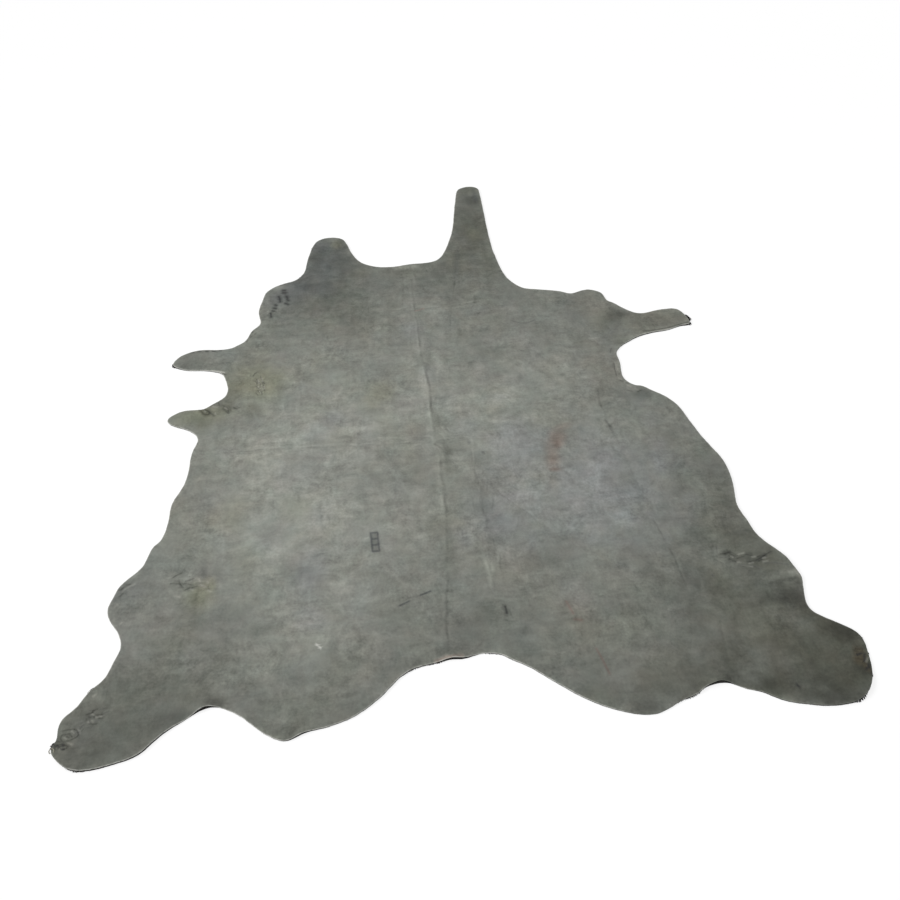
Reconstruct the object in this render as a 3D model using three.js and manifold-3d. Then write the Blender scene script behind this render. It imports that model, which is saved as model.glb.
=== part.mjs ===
// Cowhide rug: one whole tanned hide with its hair on, laid hair side down, flesh side up.
// Millimetres, +Z up. The backbone runs along +Y towards the neck, and the origin is on the
// floor under the middle of the rug. Left and right are as seen from above, looking to the neck.
import * as THREE from "three";
import { mergeVertices } from "three/addons/utils/BufferGeometryUtils.js";
import Module from "manifold-3d";

// Driving dimensions
const HIDE_WIDTH = 2182; // from the left hind shank to the right one
const HIDE_LENGTH = 2407; // from the right hind shank to the end of the right cheek
const LEATHER = 2.4; // tanned skin
const COAT = 3.6; // hair pressed flat under the skin
const COAT_SPRING = 4; // how far the coat springs open before its tips leave the floor
const CREASE_REACH = 16; // half the width of a sharp crease
const CREASE_EDGE = 34; // where a crease has died out
const EDGE_STEP = 26; // longest facet along the cut edge
const FLESH_CELL = 48; // longest facet of the flesh side
const COAT_CELL = 96; // longest facet of the hair side
const MARGIN = 60; // how far the uncut sheet runs past the pattern
const CUTTER_BELOW = -20; // the cutter's foot, clear under the sheet
const CUTTER_HEIGHT = 80; // tall enough to pass every swell

const SHEET = LEATHER + COAT;
const FULL_TURN = 2 * Math.PI;

// The cut edge, run by run, anticlockwise from the neck.
const CUT_EDGE = {
  neck: [
    { x: 79, y: 728 },
    { x: 43, y: 712 },
    { x: -36, y: 708 },
    { x: -100, y: 699 },
    { x: -168, y: 706 },
    { x: -231, y: 742 },
  ],
  leftCheek: [
    { x: -256, y: 786 },
    { x: -290, y: 886 },
    { x: -305, y: 899 },
    { x: -353, y: 907 },
    { x: -388, y: 896 },
    { x: -411, y: 868 },
    { x: -434, y: 786 },
    { x: -453, y: 692 },
  ],
  leftShoulder: [
    { x: -484, y: 657 },
    { x: -548, y: 634 },
    { x: -594, y: 598 },
    { x: -603, y: 562 },
    { x: -619, y: 493 },
    { x: -610, y: 421 },
    { x: -638, y: 393 },
    { x: -661, y: 338 },
  ],
  leftForeStrip: [
    { x: -685, y: 321 },
    { x: -706, y: 308 },
    { x: -745, y: 302 },
    { x: -823, y: 308 },
    { x: -882, y: 287 },
    { x: -904, y: 262 },
    { x: -912, y: 242 },
    { x: -873, y: 216 },
    { x: -785, y: 202 },
    { x: -734, y: 181 },
  ],
  leftArmpit: [
    { x: -724, y: 158 },
    { x: -711, y: 94 },
    { x: -724, y: 64 },
    { x: -764, y: 37 },
    { x: -782, y: 22 },
  ],
  leftForeShank: [
    { x: -855, y: 20 },
    { x: -888, y: 4 },
    { x: -907, y: -18 },
    { x: -890, y: -40 },
    { x: -825, y: -73 },
    { x: -796, y: -110 },
  ],
  leftFlank: [
    { x: -811, y: -166 },
    { x: -818, y: -254 },
    { x: -828, y: -302 },
    { x: -858, y: -371 },
    { x: -863, y: -444 },
    { x: -880, y: -506 },
    { x: -898, y: -520 },
    { x: -921, y: -587 },
    { x: -948, y: -617 },
    { x: -978, y: -646 },
    { x: -991, y: -679 },
    { x: -1005, y: -722 },
    { x: -994, y: -757 },
  ],
  leftHock: [
    { x: -962, y: -803 },
    { x: -951, y: -845 },
    { x: -966, y: -885 },
    { x: -975, y: -914 },
    { x: -992, y: -942 },
    { x: -1015, y: -959 },
  ],
  leftHindShank: [
    { x: -1048, y: -1009 },
    { x: -1079, y: -1035 },
    { x: -1084, y: -1060 },
    { x: -1081, y: -1090 },
    { x: -1091, y: -1112 },
    { x: -1088, y: -1126 },
    { x: -1072, y: -1146 },
    { x: -1046, y: -1167 },
    { x: -1008, y: -1178 },
    { x: -914, y: -1165 },
    { x: -866, y: -1148 },
    { x: -819, y: -1106 },
    { x: -772, y: -1077 },
  ],
  leftRump: [
    { x: -697, y: -1041 },
    { x: -634, y: -1063 },
    { x: -546, y: -1133 },
    { x: -500, y: -1154 },
    { x: -450, y: -1137 },
    { x: -384, y: -1126 },
    { x: -322, y: -1107 },
    { x: -255, y: -1066 },
    { x: -192, y: -1010 },
  ],
  tail: [
    { x: -158, y: -990 },
    { x: -84, y: -978 },
    { x: -50, y: -972 },
    { x: -14, y: -975 },
    { x: 30, y: -964 },
    { x: 80, y: -970 },
  ],
  rightRump: [
    { x: 113, y: -990 },
    { x: 160, y: -1019 },
    { x: 286, y: -1118 },
    { x: 380, y: -1166 },
    { x: 468, y: -1182 },
    { x: 550, y: -1150 },
    { x: 588, y: -1141 },
    { x: 614, y: -1124 },
  ],
  rightHindShank: [
    { x: 680, y: -1116 },
    { x: 720, y: -1137 },
    { x: 765, y: -1153 },
    { x: 808, y: -1179 },
    { x: 930, y: -1208 },
    { x: 1000, y: -1205 },
    { x: 1023, y: -1196 },
    { x: 1069, y: -1143 },
    { x: 1088, y: -1068 },
    { x: 1090, y: -1030 },
    { x: 1078, y: -1006 },
    { x: 1000, y: -950 },
    { x: 978, y: -930 },
    { x: 973, y: -910 },
  ],
  rightFlank: [
    { x: 983, y: -857 },
    { x: 991, y: -823 },
    { x: 983, y: -797 },
    { x: 967, y: -749 },
    { x: 936, y: -710 },
    { x: 909, y: -666 },
    { x: 895, y: -610 },
    { x: 883, y: -566 },
    { x: 898, y: -452 },
    { x: 893, y: -374 },
    { x: 857, y: -280 },
    { x: 833, y: -203 },
    { x: 811, y: -126 },
    { x: 779, y: -82 },
    { x: 733, y: -44 },
    { x: 716, y: -28 },
    { x: 688, y: -21 },
  ],
  rightArmpit: [
    { x: 658, y: 13 },
    { x: 663, y: 93 },
    { x: 660, y: 140 },
    { x: 681, y: 168 },
    { x: 705, y: 186 },
  ],
  rightForeShank: [
    { x: 780, y: 223 },
    { x: 880, y: 240 },
    { x: 938, y: 257 },
    { x: 964, y: 256 },
    { x: 966, y: 270 },
    { x: 938, y: 341 },
    { x: 867, y: 347 },
    { x: 790, y: 335 },
    { x: 728, y: 380 },
  ],
  rightShoulder: [
    { x: 705, y: 407 },
    { x: 687, y: 416 },
    { x: 677, y: 462 },
    { x: 624, y: 489 },
    { x: 557, y: 471 },
    { x: 524, y: 488 },
    { x: 476, y: 500 },
    { x: 397, y: 517 },
    { x: 380, y: 524 },
  ],
  rightCheek: [
    { x: 333, y: 583 },
    { x: 302, y: 738 },
    { x: 295, y: 892 },
    { x: 295, y: 1130 },
    { x: 289, y: 1184 },
    { x: 250, y: 1197 },
    { x: 204, y: 1180 },
    { x: 191, y: 1136 },
    { x: 171, y: 1020 },
    { x: 149, y: 897 },
    { x: 111, y: 784 },
  ],
};

// Creases left from folding the hide away. A negative rise is a trough.
const LENGTHWISE_CREASES = {
  leftQuarter: [
    { y: 400, x: -470, rise: 0 },
    { y: 268, x: -465, rise: 1 },
    { y: 57, x: -458, rise: 1.5 },
    { y: -183, x: -425, rise: 1.5 },
    { y: -300, x: -434, rise: 0 },
  ],
  backbone: [
    { y: 700, x: -42, rise: 1 },
    { y: 436, x: -38, rise: 3 },
    { y: 143, x: -40, rise: 3.5 },
    { y: -112, x: -21, rise: 4 },
    { y: -272, x: -10, rise: 4 },
    { y: -444, x: -11, rise: 3 },
    { y: -640, x: -29, rise: -1 },
    { y: -800, x: -48, rise: -2 },
    { y: -975, x: -58, rise: 1 },
  ],
  besideBackbone: [
    { y: -120, x: 86, rise: 0 },
    { y: -194, x: 90, rise: 2 },
    { y: -413, x: 96, rise: 2 },
    { y: -763, x: 99, rise: 1.5 },
    { y: -850, x: 101, rise: 0 },
  ],
  rightQuarter: [
    { y: 40, x: 566, rise: 0 },
    { y: -90, x: 564, rise: -1.5 },
    { y: -266, x: 574, rise: -2 },
    { y: -427, x: 606, rise: -1.5 },
    { y: -652, x: 627, rise: -2 },
    { y: -854, x: 653, rise: -1.5 },
    { y: -960, x: 664, rise: 0 },
  ],
};
const CROSSWISE_CREASES = {
  belly: [
    { x: -880, y: -180, rise: 2.5 },
    { x: -577, y: -179, rise: 2 },
    { x: -20, y: -204, rise: 3 },
    { x: 125, y: -186, rise: 2 },
    { x: 230, y: -180, rise: 0 },
  ],
  neck: [
    { x: -120, y: 444, rise: 0 },
    { x: -56, y: 449, rise: 2 },
    { x: 292, y: 476, rise: 1.5 },
    { x: 420, y: 484, rise: 0 },
  ],
};

// Soft swells where the hide stands off the floor: half-sizes, turn in degrees, height.
const SWELLS = {
  leftShankFront: { x: -1000, y: -1180, along: 130, across: 60, turn: 3, rise: 9 },
  leftShankInner: { x: -825, y: -1112, along: 80, across: 45, turn: 32, rise: 6 },
  leftNotch: { x: -705, y: -1035, along: 55, across: 75, turn: 0, rise: 12 },
  leftRumpPoint: { x: -450, y: -1140, along: 55, across: 45, turn: 10, rise: 7 },
  leftRumpEdge: { x: -260, y: -1060, along: 90, across: 45, turn: 40, rise: 3 },
  tailLeft: { x: -55, y: -968, along: 90, across: 80, turn: 0, rise: 11 },
  tailRight: { x: 62, y: -962, along: 55, across: 50, turn: 0, rise: 5 },
  rightNotch: { x: 660, y: -1110, along: 70, across: 80, turn: 0, rise: 13 },
  rightShankFront: { x: 900, y: -1205, along: 120, across: 45, turn: -4, rise: 4 },
  rightShankTip: { x: 1030, y: -1190, along: 60, across: 60, turn: 40, rise: 9 },
  rightForeTip: { x: 972, y: 290, along: 55, across: 60, turn: 0, rise: 8 },
  rightForeStrip: { x: 820, y: 240, along: 110, across: 30, turn: 8, rise: 4 },
  leftForeStripEdge: { x: -790, y: 205, along: 90, across: 35, turn: -10, rise: 4 },
  leftForeStripTip: { x: -912, y: 262, along: 40, across: 45, turn: 0, rise: 6 },
  leftCheek: { x: -350, y: 905, along: 90, across: 60, turn: 0, rise: 2.5 },
  rightCheekEnd: { x: 245, y: 1195, along: 70, across: 60, turn: 0, rise: 3 },
  leftFlankUpper: { x: -830, y: -182, along: 95, across: 30, turn: -3, rise: 3 },
  leftFlankMiddle: { x: -850, y: -345, along: 90, across: 42, turn: -8, rise: 3 },
  leftFlankLower: { x: -875, y: -508, along: 110, across: 38, turn: -5, rise: 4 },
  leftStifle: { x: -975, y: -655, along: 110, across: 48, turn: -22, rise: 4 },
  leftHockEdge: { x: -955, y: -820, along: 60, across: 55, turn: 0, rise: 3 },
  rightFlankUpper: { x: 885, y: -430, along: 120, across: 45, turn: 4, rise: 3 },
  rightFlankMiddle: { x: 870, y: -595, along: 150, across: 42, turn: 3, rise: 6 },
  rightStifle: { x: 940, y: -765, along: 170, across: 50, turn: -8, rise: 7 },
  rightHock: { x: 985, y: -930, along: 90, across: 45, turn: -30, rise: 3 },
  leftSide: { x: -420, y: -380, along: 260, across: 330, turn: 15, rise: 3 },
  rightSide: { x: 330, y: -520, along: 200, across: 330, turn: -8, rise: 3.5 },
  shoulders: { x: 210, y: 170, along: 330, across: 170, turn: 5, rise: 2.5 },
  leftRump: { x: -330, y: -860, along: 230, across: 130, turn: 10, rise: 3 },
  rightRump: { x: 420, y: -960, along: 170, across: 140, turn: -10, rise: 3 },
};

// The pattern's smooth outline: each span between two rows is cut into facets of EDGE_STEP.
function cutEdgePoints() {
  const rows = Object.values(CUT_EDGE).flat();
  const knots = rows.map(({ x, y }) => new THREE.Vector3(x, y, 0));
  const curve = new THREE.CatmullRomCurve3(knots, true, "centripetal");
  const points = [];
  knots.forEach((knot, i) => {
    const span = knot.distanceTo(knots[(i + 1) % knots.length]);
    const facets = Math.ceil(span / EDGE_STEP);
    for (let k = 0; k < facets; k++) {
      const point = curve.getPoint((i + k / facets) / knots.length);
      points.push(new THREE.Vector2(point.x, point.y));
    }
  });
  return points;
}

const patternEdge = cutEdgePoints();
const pattern = new THREE.Box2().setFromPoints(patternEdge);
const patternSize = pattern.getSize(new THREE.Vector2());
const patternMiddle = pattern.getCenter(new THREE.Vector2());
const stretch = new THREE.Vector2(HIDE_WIDTH, HIDE_LENGTH).divide(patternSize);

// A named column of a table, read between its rows along another column.
function readBetween(rows, along, column, at) {
  const sorted = [...rows].sort((a, b) => a[along] - b[along]);
  const next = sorted.findIndex((row) => row[along] >= at);
  if (next === 0) return sorted[0][column];
  if (next < 0) return sorted.at(-1)[column];
  const share = THREE.MathUtils.inverseLerp(sorted[next - 1][along], sorted[next][along], at);
  return THREE.MathUtils.lerp(sorted[next - 1][column], sorted[next][column], share);
}

// A crease is sharp at its line and dies out to each side; past its ends there is none.
function creaseHeight(rows, along, aside, x, y) {
  const here = { x, y };
  const ends = rows.map((row) => row[along]);
  if (here[along] < Math.min(...ends) || here[along] > Math.max(...ends)) return 0;
  const off = Math.abs(here[aside] - readBetween(rows, along, aside, here[along]));
  const share = Math.max(0, 1 - off / CREASE_EDGE);
  return readBetween(rows, along, "rise", here[along]) * share ** 1.5;
}

function swellHeight({ x, y, along, across, turn, rise }, atX, atY) {
  const angle = THREE.MathUtils.degToRad(turn);
  const off = new THREE.Vector2(atX - x, atY - y).rotateAround(new THREE.Vector2(), -angle);
  return rise * Math.exp(-((off.x / along) ** 2) - (off.y / across) ** 2);
}

function lift(x, y) {
  let height = 0;
  for (const swell of Object.values(SWELLS)) height += swellHeight(swell, x, y);
  return height;
}

function creases(x, y) {
  let height = 0;
  for (const rows of Object.values(LENGTHWISE_CREASES)) height += creaseHeight(rows, "y", "x", x, y);
  for (const rows of Object.values(CROSSWISE_CREASES)) height += creaseHeight(rows, "x", "y", x, y);
  return height;
}

const fleshSide = (x, y) => SHEET + lift(x, y) + creases(x, y);
const hairSide = (x, y) => Math.max(0, lift(x, y) - COAT_SPRING);

// Grid lines across one direction: on each crease line, beside it, and evenly in between.
// Every line bends with its neighbours, so facets follow the creases.
function gridLines(low, high, creaseTables, along, aside, cell) {
  const creaseLines = Object.values(creaseTables)
    .map((rows) => (at) => readBetween(rows, along, aside, at))
    .sort((a, b) => a(0) - b(0));
  const anchors = [() => low];
  for (const line of creaseLines) {
    for (const beside of [-CREASE_EDGE, -CREASE_REACH, 0, CREASE_REACH, CREASE_EDGE]) {
      anchors.push((at) => line(at) + beside);
    }
  }
  anchors.push(() => high);
  const lines = [];
  anchors.slice(1).forEach((after, i) => {
    const before = anchors[i];
    const count = Math.ceil((after(0) - before(0)) / cell);
    for (let k = 0; k < count; k++) {
      lines.push((at) => THREE.MathUtils.lerp(before(at), after(at), k / count));
    }
  });
  lines.push(anchors.at(-1));
  return lines;
}

function sheetGrid(creased, cell) {
  const lengthwise = creased ? LENGTHWISE_CREASES : {};
  const crosswise = creased ? CROSSWISE_CREASES : {};
  const low = pattern.min.clone().subScalar(MARGIN);
  const high = pattern.max.clone().addScalar(MARGIN);
  const columns = gridLines(low.x, high.x, lengthwise, "y", "x", cell);
  const rows = gridLines(low.y, high.y, crosswise, "x", "y", cell);
  return rows.map((row) =>
    columns.map((column) => {
      const x = column(row(0));
      return new THREE.Vector2(column(row(x)), row(x));
    }),
  );
}

// Triangles of a grid of points at a height, wound to face up or down.
function gridTriangles(grid, height, up) {
  const triangles = [];
  const corner = (p) => [p.x, p.y, height(p.x, p.y)];
  for (let j = 0; j + 1 < grid.length; j++) {
    for (let i = 0; i + 1 < grid[j].length; i++) {
      const [a, b, c, d] = [grid[j][i], grid[j][i + 1], grid[j + 1][i + 1], grid[j + 1][i]].map(corner);
      const halves = (i + j) % 2 ? [a, b, c, a, c, d] : [a, b, d, b, c, d];
      triangles.push(...(up ? halves : halves.reverse()));
    }
  }
  return triangles;
}

// The border of a grid, anticlockwise from its low corner.
function gridBorder(grid) {
  const last = grid.at(-1);
  return [
    ...grid[0].slice(0, -1),
    ...grid.slice(0, -1).map((row) => row.at(-1)),
    ...last.slice(1).reverse(),
    ...grid.slice(1).map((row) => row[0]).reverse(),
  ];
}

function geometryOf(corners) {
  const geometry = new THREE.BufferGeometry();
  geometry.setAttribute("position", new THREE.Float32BufferAttribute(corners.flat(), 3));
  return geometry;
}

// The uncut sheet: flesh side above, hair side below, each on its own grid, and a side wall
// whose strip is filled by walking both borders together.
function uncutSheet() {
  const above = sheetGrid(true, FLESH_CELL);
  const below = sheetGrid(false, COAT_CELL);
  const top = gridBorder(above).map((p) => [p.x, p.y, fleshSide(p.x, p.y)]);
  const bottom = gridBorder(below).map((p) => [p.x, p.y, hairSide(p.x, p.y)]);
  const wall = [];
  const bearing = ([x, y]) => Math.atan2(y - patternMiddle.y, x - patternMiddle.x);
  const start = bearing(bottom[0]);
  const turned = (p) => (bearing(p) - start + FULL_TURN) % FULL_TURN;
  let t = 0;
  let b = 0;
  while (t < top.length || b < bottom.length) {
    const nextTop = t + 1 < top.length ? turned(top[t + 1]) : FULL_TURN;
    const nextBottom = b + 1 < bottom.length ? turned(bottom[b + 1]) : FULL_TURN;
    const stepTop = t < top.length && (b === bottom.length || nextTop <= nextBottom);
    const [p, q] = [top[t % top.length], bottom[b % bottom.length]];
    if (stepTop) wall.push(q, top[(t + 1) % top.length], p);
    else wall.push(q, bottom[(b + 1) % bottom.length], p);
    if (stepTop) t += 1;
    else b += 1;
  }
  return geometryOf([
    ...gridTriangles(above, fleshSide, true),
    ...gridTriangles(below, hairSide, false),
    ...wall,
  ]);
}

const wasm = await Module();
wasm.setup();

function solidOf(geometry) {
  for (const name of Object.keys(geometry.attributes)) {
    if (name !== "position") geometry.deleteAttribute(name);
  }
  const merged = mergeVertices(geometry, 1e-3);
  return new wasm.Manifold(
    new wasm.Mesh({
      numProp: 3,
      vertProperties: merged.attributes.position.array,
      triVerts: new Uint32Array(merged.index.array),
    }),
  );
}

function hideGeometry() {
  const cutter = new THREE.ExtrudeGeometry(new THREE.Shape(patternEdge), {
    depth: CUTTER_HEIGHT,
    bevelEnabled: false,
  }).translate(0, 0, CUTTER_BELOW);
  const cut = solidOf(uncutSheet()).intersect(solidOf(cutter)).getMesh();
  return new THREE.BufferGeometry()
    .setAttribute("position", new THREE.BufferAttribute(cut.vertProperties, 3))
    .setIndex(new THREE.BufferAttribute(cut.triVerts, 1))
    .translate(-patternMiddle.x, -patternMiddle.y, 0)
    .scale(stretch.x, stretch.y, 1);
}

const rug = new THREE.Group();
const hide = new THREE.Mesh(
  hideGeometry(),
  new THREE.MeshStandardMaterial({ color: 0x797b74, roughness: 0.95, metalness: 0 }),
);
hide.name = "hide";
rug.add(hide);

export default rug;
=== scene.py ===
import math

import bmesh
import bpy
import numpy as np
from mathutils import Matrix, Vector, kdtree, noise
from mathutils.bvhtree import BVHTree
from mathutils.geometry import delaunay_2d_cdt

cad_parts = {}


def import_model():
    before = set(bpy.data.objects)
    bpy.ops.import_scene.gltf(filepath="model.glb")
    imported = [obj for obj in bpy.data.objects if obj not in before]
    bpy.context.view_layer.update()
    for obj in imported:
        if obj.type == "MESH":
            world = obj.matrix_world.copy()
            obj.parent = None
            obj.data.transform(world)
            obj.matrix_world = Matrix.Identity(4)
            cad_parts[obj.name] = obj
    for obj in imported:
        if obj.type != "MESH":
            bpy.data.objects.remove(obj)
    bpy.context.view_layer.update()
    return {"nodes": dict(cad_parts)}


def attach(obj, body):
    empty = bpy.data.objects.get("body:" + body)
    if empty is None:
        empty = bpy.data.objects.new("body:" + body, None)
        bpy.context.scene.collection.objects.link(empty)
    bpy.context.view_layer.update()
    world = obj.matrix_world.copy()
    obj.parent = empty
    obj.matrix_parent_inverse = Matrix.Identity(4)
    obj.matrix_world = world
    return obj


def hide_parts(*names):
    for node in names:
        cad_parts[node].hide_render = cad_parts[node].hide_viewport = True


bl_info = {
    "name": "Cowhide Rug",
    "version": (1, 0, 0),
    "blender": (4, 5, 0),
    "location": "View3D > Sidebar > Cowhide",
    "description": "Finishes a packed cowhide rug: suede flesh side, cut edge, hair coat and stage",
    "category": "Add Mesh",
}

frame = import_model()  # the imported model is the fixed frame
HIDE = "hide"
BODY = "root"
LEATHER = "hide_leather"
MM = 0.001

# ---------------------------------------------------------------- tables, in millimetres


def table(columns, rows):
    """Named rows, each with its values under the names of the columns."""
    return {name: dict(zip(columns.split(), row, strict=True)) for name, row in rows.items()}


# Folds and wrinkles of the flesh side, each along a line of places. rise is the ridge on the
# left of the line, sink the trough along it, reach how wide it spreads, light how much painted
# highlight the ridge gets, and dark how much painted shade the trough gets.
CREASES = table("rise sink reach light dark line", {
    "backbone, neck": (0.6, 0.5, 7, 1.0, 1.0, [(-32, 190), (-37, 335), (-38, 442), (-41, 644)]),
    "backbone, withers": (1.2, 1.0, 9, 1.5, 1.7, [(-20, -215), (-18, -149), (-23, -95), (-22, -40),
        (-20, 33), (-28, 130), (-34, 220)]),
    "backbone, loin": (1.1, 1.0, 9, 1.5, 1.5, [(-15, -503), (-14, -443), (-12, -373), (-14, -317),
        (-12, -260), (-13, -236)]),
    "backbone, rump": (0.4, 0.9, 8, 0.9, 1.7, [(-58, -968), (-57, -942), (-48, -794), (-33, -706),
        (-23, -556), (-15, -480)]),
    "backbone, kink": (0.5, 0.8, 8, 0.6, 1.4, [(14, -262), (4, -236), (-14, -222), (-34, -206)]),
    "beside the kink": (0.8, 0.4, 6, 1.2, 0.6, [(0, -236), (8, -221), (33, -202), (68, -189), (96, -200)]),
    "across the neck": (0.6, 0.3, 6, 1.0, 0.7, [(-149, 459), (-90, 452), (-38, 440), (-3, 448), (57, 454),
        (144, 460), (292, 476)]),
    "across the belly, left": (0.7, 0.4, 7, 0.7, 0.8, [(-809, -174), (-700, -176), (-577, -173),
        (-400, -182), (-210, -192), (-20, -198)]),
    "across the belly, right": (0.5, 0.3, 6, 0.6, 0.7, [(-20, -198), (50, -188), (125, -179)]),
    "left quarter": (0.4, 0.3, 7, 0.4, 0.5, [(-465, 274), (-458, 63), (-440, -60), (-425, -177),
        (-432, -267)]),
    "beside the backbone": (0.3, 0.3, 6, 0.3, 0.3, [(90, -188), (95, -300), (96, -407), (97, -591),
        (99, -757)]),
    "right quarter, upper": (0.0, 0.4, 9, 0.0, 1.6, [(556, 10), (556, -28), (553, -90), (558, -130),
        (554, -165), (564, -190), (573, -264)]),
    "right quarter, middle": (0.0, 0.2, 7, 0.0, 0.5, [(577, -280), (596, -421), (608, -530)]),
    "right quarter, lower": (0.0, 0.5, 7, 0.1, 1.7, [(610, -545), (617, -585), (632, -670), (645, -731),
        (648, -776), (652, -830)]),
    "right loin, slanting": (0.5, 0.4, 6, 1.0, 0.9, [(150, -406), (165, -435), (192, -465), (213, -486),
        (242, -520), (266, -559)]),
    "right loin, dark fold": (0.2, 0.4, 9, 0.3, 1.2, [(93, -574), (106, -524), (99, -478), (96, -428),
        (108, -380)]),
    "right loin, pale fold": (0.6, 0.3, 8, 1.5, 0.4, [(96, -771), (93, -727), (89, -672), (84, -623),
        (81, -569)]),
    "right loin, prong": (0.4, 0.3, 7, 1.2, 0.3, [(98, -714), (113, -689), (130, -656)]),
    "beside the neck": (0.3, 0.2, 6, 0.9, 0.3, [(-72, 250), (-66, 300), (-58, 345), (-56, 380)]),
    "below the right cheek": (0.2, 0.5, 7, 0.5, 1.1, [(145, 710), (138, 651), (119, 541), (103, 457),
        (88, 360), (82, 300)]),
    "nape, left streak": (0.2, 0.3, 8, 0.6, 1.5, [(-70, 680), (-70, 619), (-76, 533), (-82, 449)]),
    "nape, middle streak": (0.3, 0.3, 8, 1.0, 0.6, [(-20, 585), (-22, 620), (-26, 660)]),
    "nape, right streak": (0.2, 0.3, 9, 0.4, 1.0, [(27, 680), (30, 640), (28, 590)]),
    "right rump, upper fold": (0.4, 0.5, 8, 0.6, 0.7, [(697, -781), (680, -862), (660, -939)]),
    "left rump, slanting": (0.3, 0.5, 5, 0.6, 0.7, [(-181, -780), (-140, -764), (-87, -754)]),
    "right rump, slanting": (0.3, 0.5, 6, 0.5, 0.6, [(634, -916), (624, -960), (607, -1012)]),
    "right rump, fold": (0.5, 0.7, 9, 0.6, 0.7, [(715, -925), (705, -1000), (691, -1077)]),
    "right flank, upper wave": (0.5, 0.6, 9, 0.4, 0.5, [(800, -520), (871, -531), (900, -540)]),
    "right flank, middle wave": (0.5, 0.7, 10, 0.5, 0.6, [(760, -636), (830, -650), (905, -640)]),
    "right flank, lower wave": (1.0, 1.2, 12, 1.5, 2.0, [(884, -826), (940, -817), (985, -812)]),
    "right flank, rim wave": (0.5, 0.6, 10, 0.4, 0.6, [(962, -806), (978, -850), (968, -888)]),
})

# The two kinds of short mark, with the measures of a crease. sway is how unevenly they slant,
# in degrees.
PROFILES = table("rise sink reach light dark sway", {
    "knife": (0.4, 0.8, 2.8, 1.5, 1.7, 14),
    "wrinkle": (0.25, 0.3, 5.0, 0.45, 0.5, 7),
})

# Short marks in the flesh side: their middle, how far they spread each way, how many there are,
# how long they are, and how they slant, in degrees.
SHORT_MARKS = table("profile x y wide high count long slant", {
    "left flank": ("knife", -793, -655, 50, 34, 2, 24, 14),
    "right flank": ("knife", 860, -740, 100, 26, 5, 26, -10),
    "left shank": ("knife", -1003, -1040, 42, 34, 4, 16, 40),
    "left elbow": ("knife", -608, 136, 30, 40, 6, 16, 65),
    "elbow, fine": ("knife", -597, 108, 18, 34, 22, 9, 60),
    "right tip": ("knife", 1068, -1080, 14, 34, 6, 14, 60),
    "belly, left": ("wrinkle", -300, -180, 290, 30, 30, 95, 3),
    "belly, flank": ("wrinkle", -690, -180, 110, 22, 9, 90, 0),
    "belly, right": ("wrinkle", 70, -185, 110, 30, 10, 60, 5),
    "loin knot": ("wrinkle", -25, -170, 60, 70, 16, 45, -60),
    "withers": ("wrinkle", -20, -20, 90, 60, 12, 50, 10),
    "neck": ("wrinkle", 90, 465, 200, 22, 14, 80, 4),
    "loin": ("wrinkle", -260, -620, 320, 50, 18, 80, -2),
    "rump": ("wrinkle", -130, -770, 90, 40, 8, 70, 14),
    "thigh": ("wrinkle", 320, -800, 240, 90, 20, 70, -4),
    "ribs": ("wrinkle", 180, -380, 80, 180, 16, 60, 80),
    "backbone, right": ("wrinkle", 70, -520, 60, 240, 18, 60, 84),
})

# Colours of the patches: what the tannage left, and smoke and chalk also as painted shade and highlight.
DYES = {
    "chalk": (0.250, 0.258, 0.228),
    "ash": (0.205, 0.214, 0.198),
    "smoke": (0.112, 0.117, 0.100),
    "slate": (0.098, 0.104, 0.099),
    "moss": (0.076, 0.078, 0.060),
    "blue": (0.208, 0.215, 0.210),
    "olive": (0.186, 0.191, 0.140),
    "straw": (0.225, 0.224, 0.168),
    "clay": (0.200, 0.196, 0.165),
    "rust": (0.188, 0.157, 0.135),
    "umber": (0.120, 0.085, 0.070),
}
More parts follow.
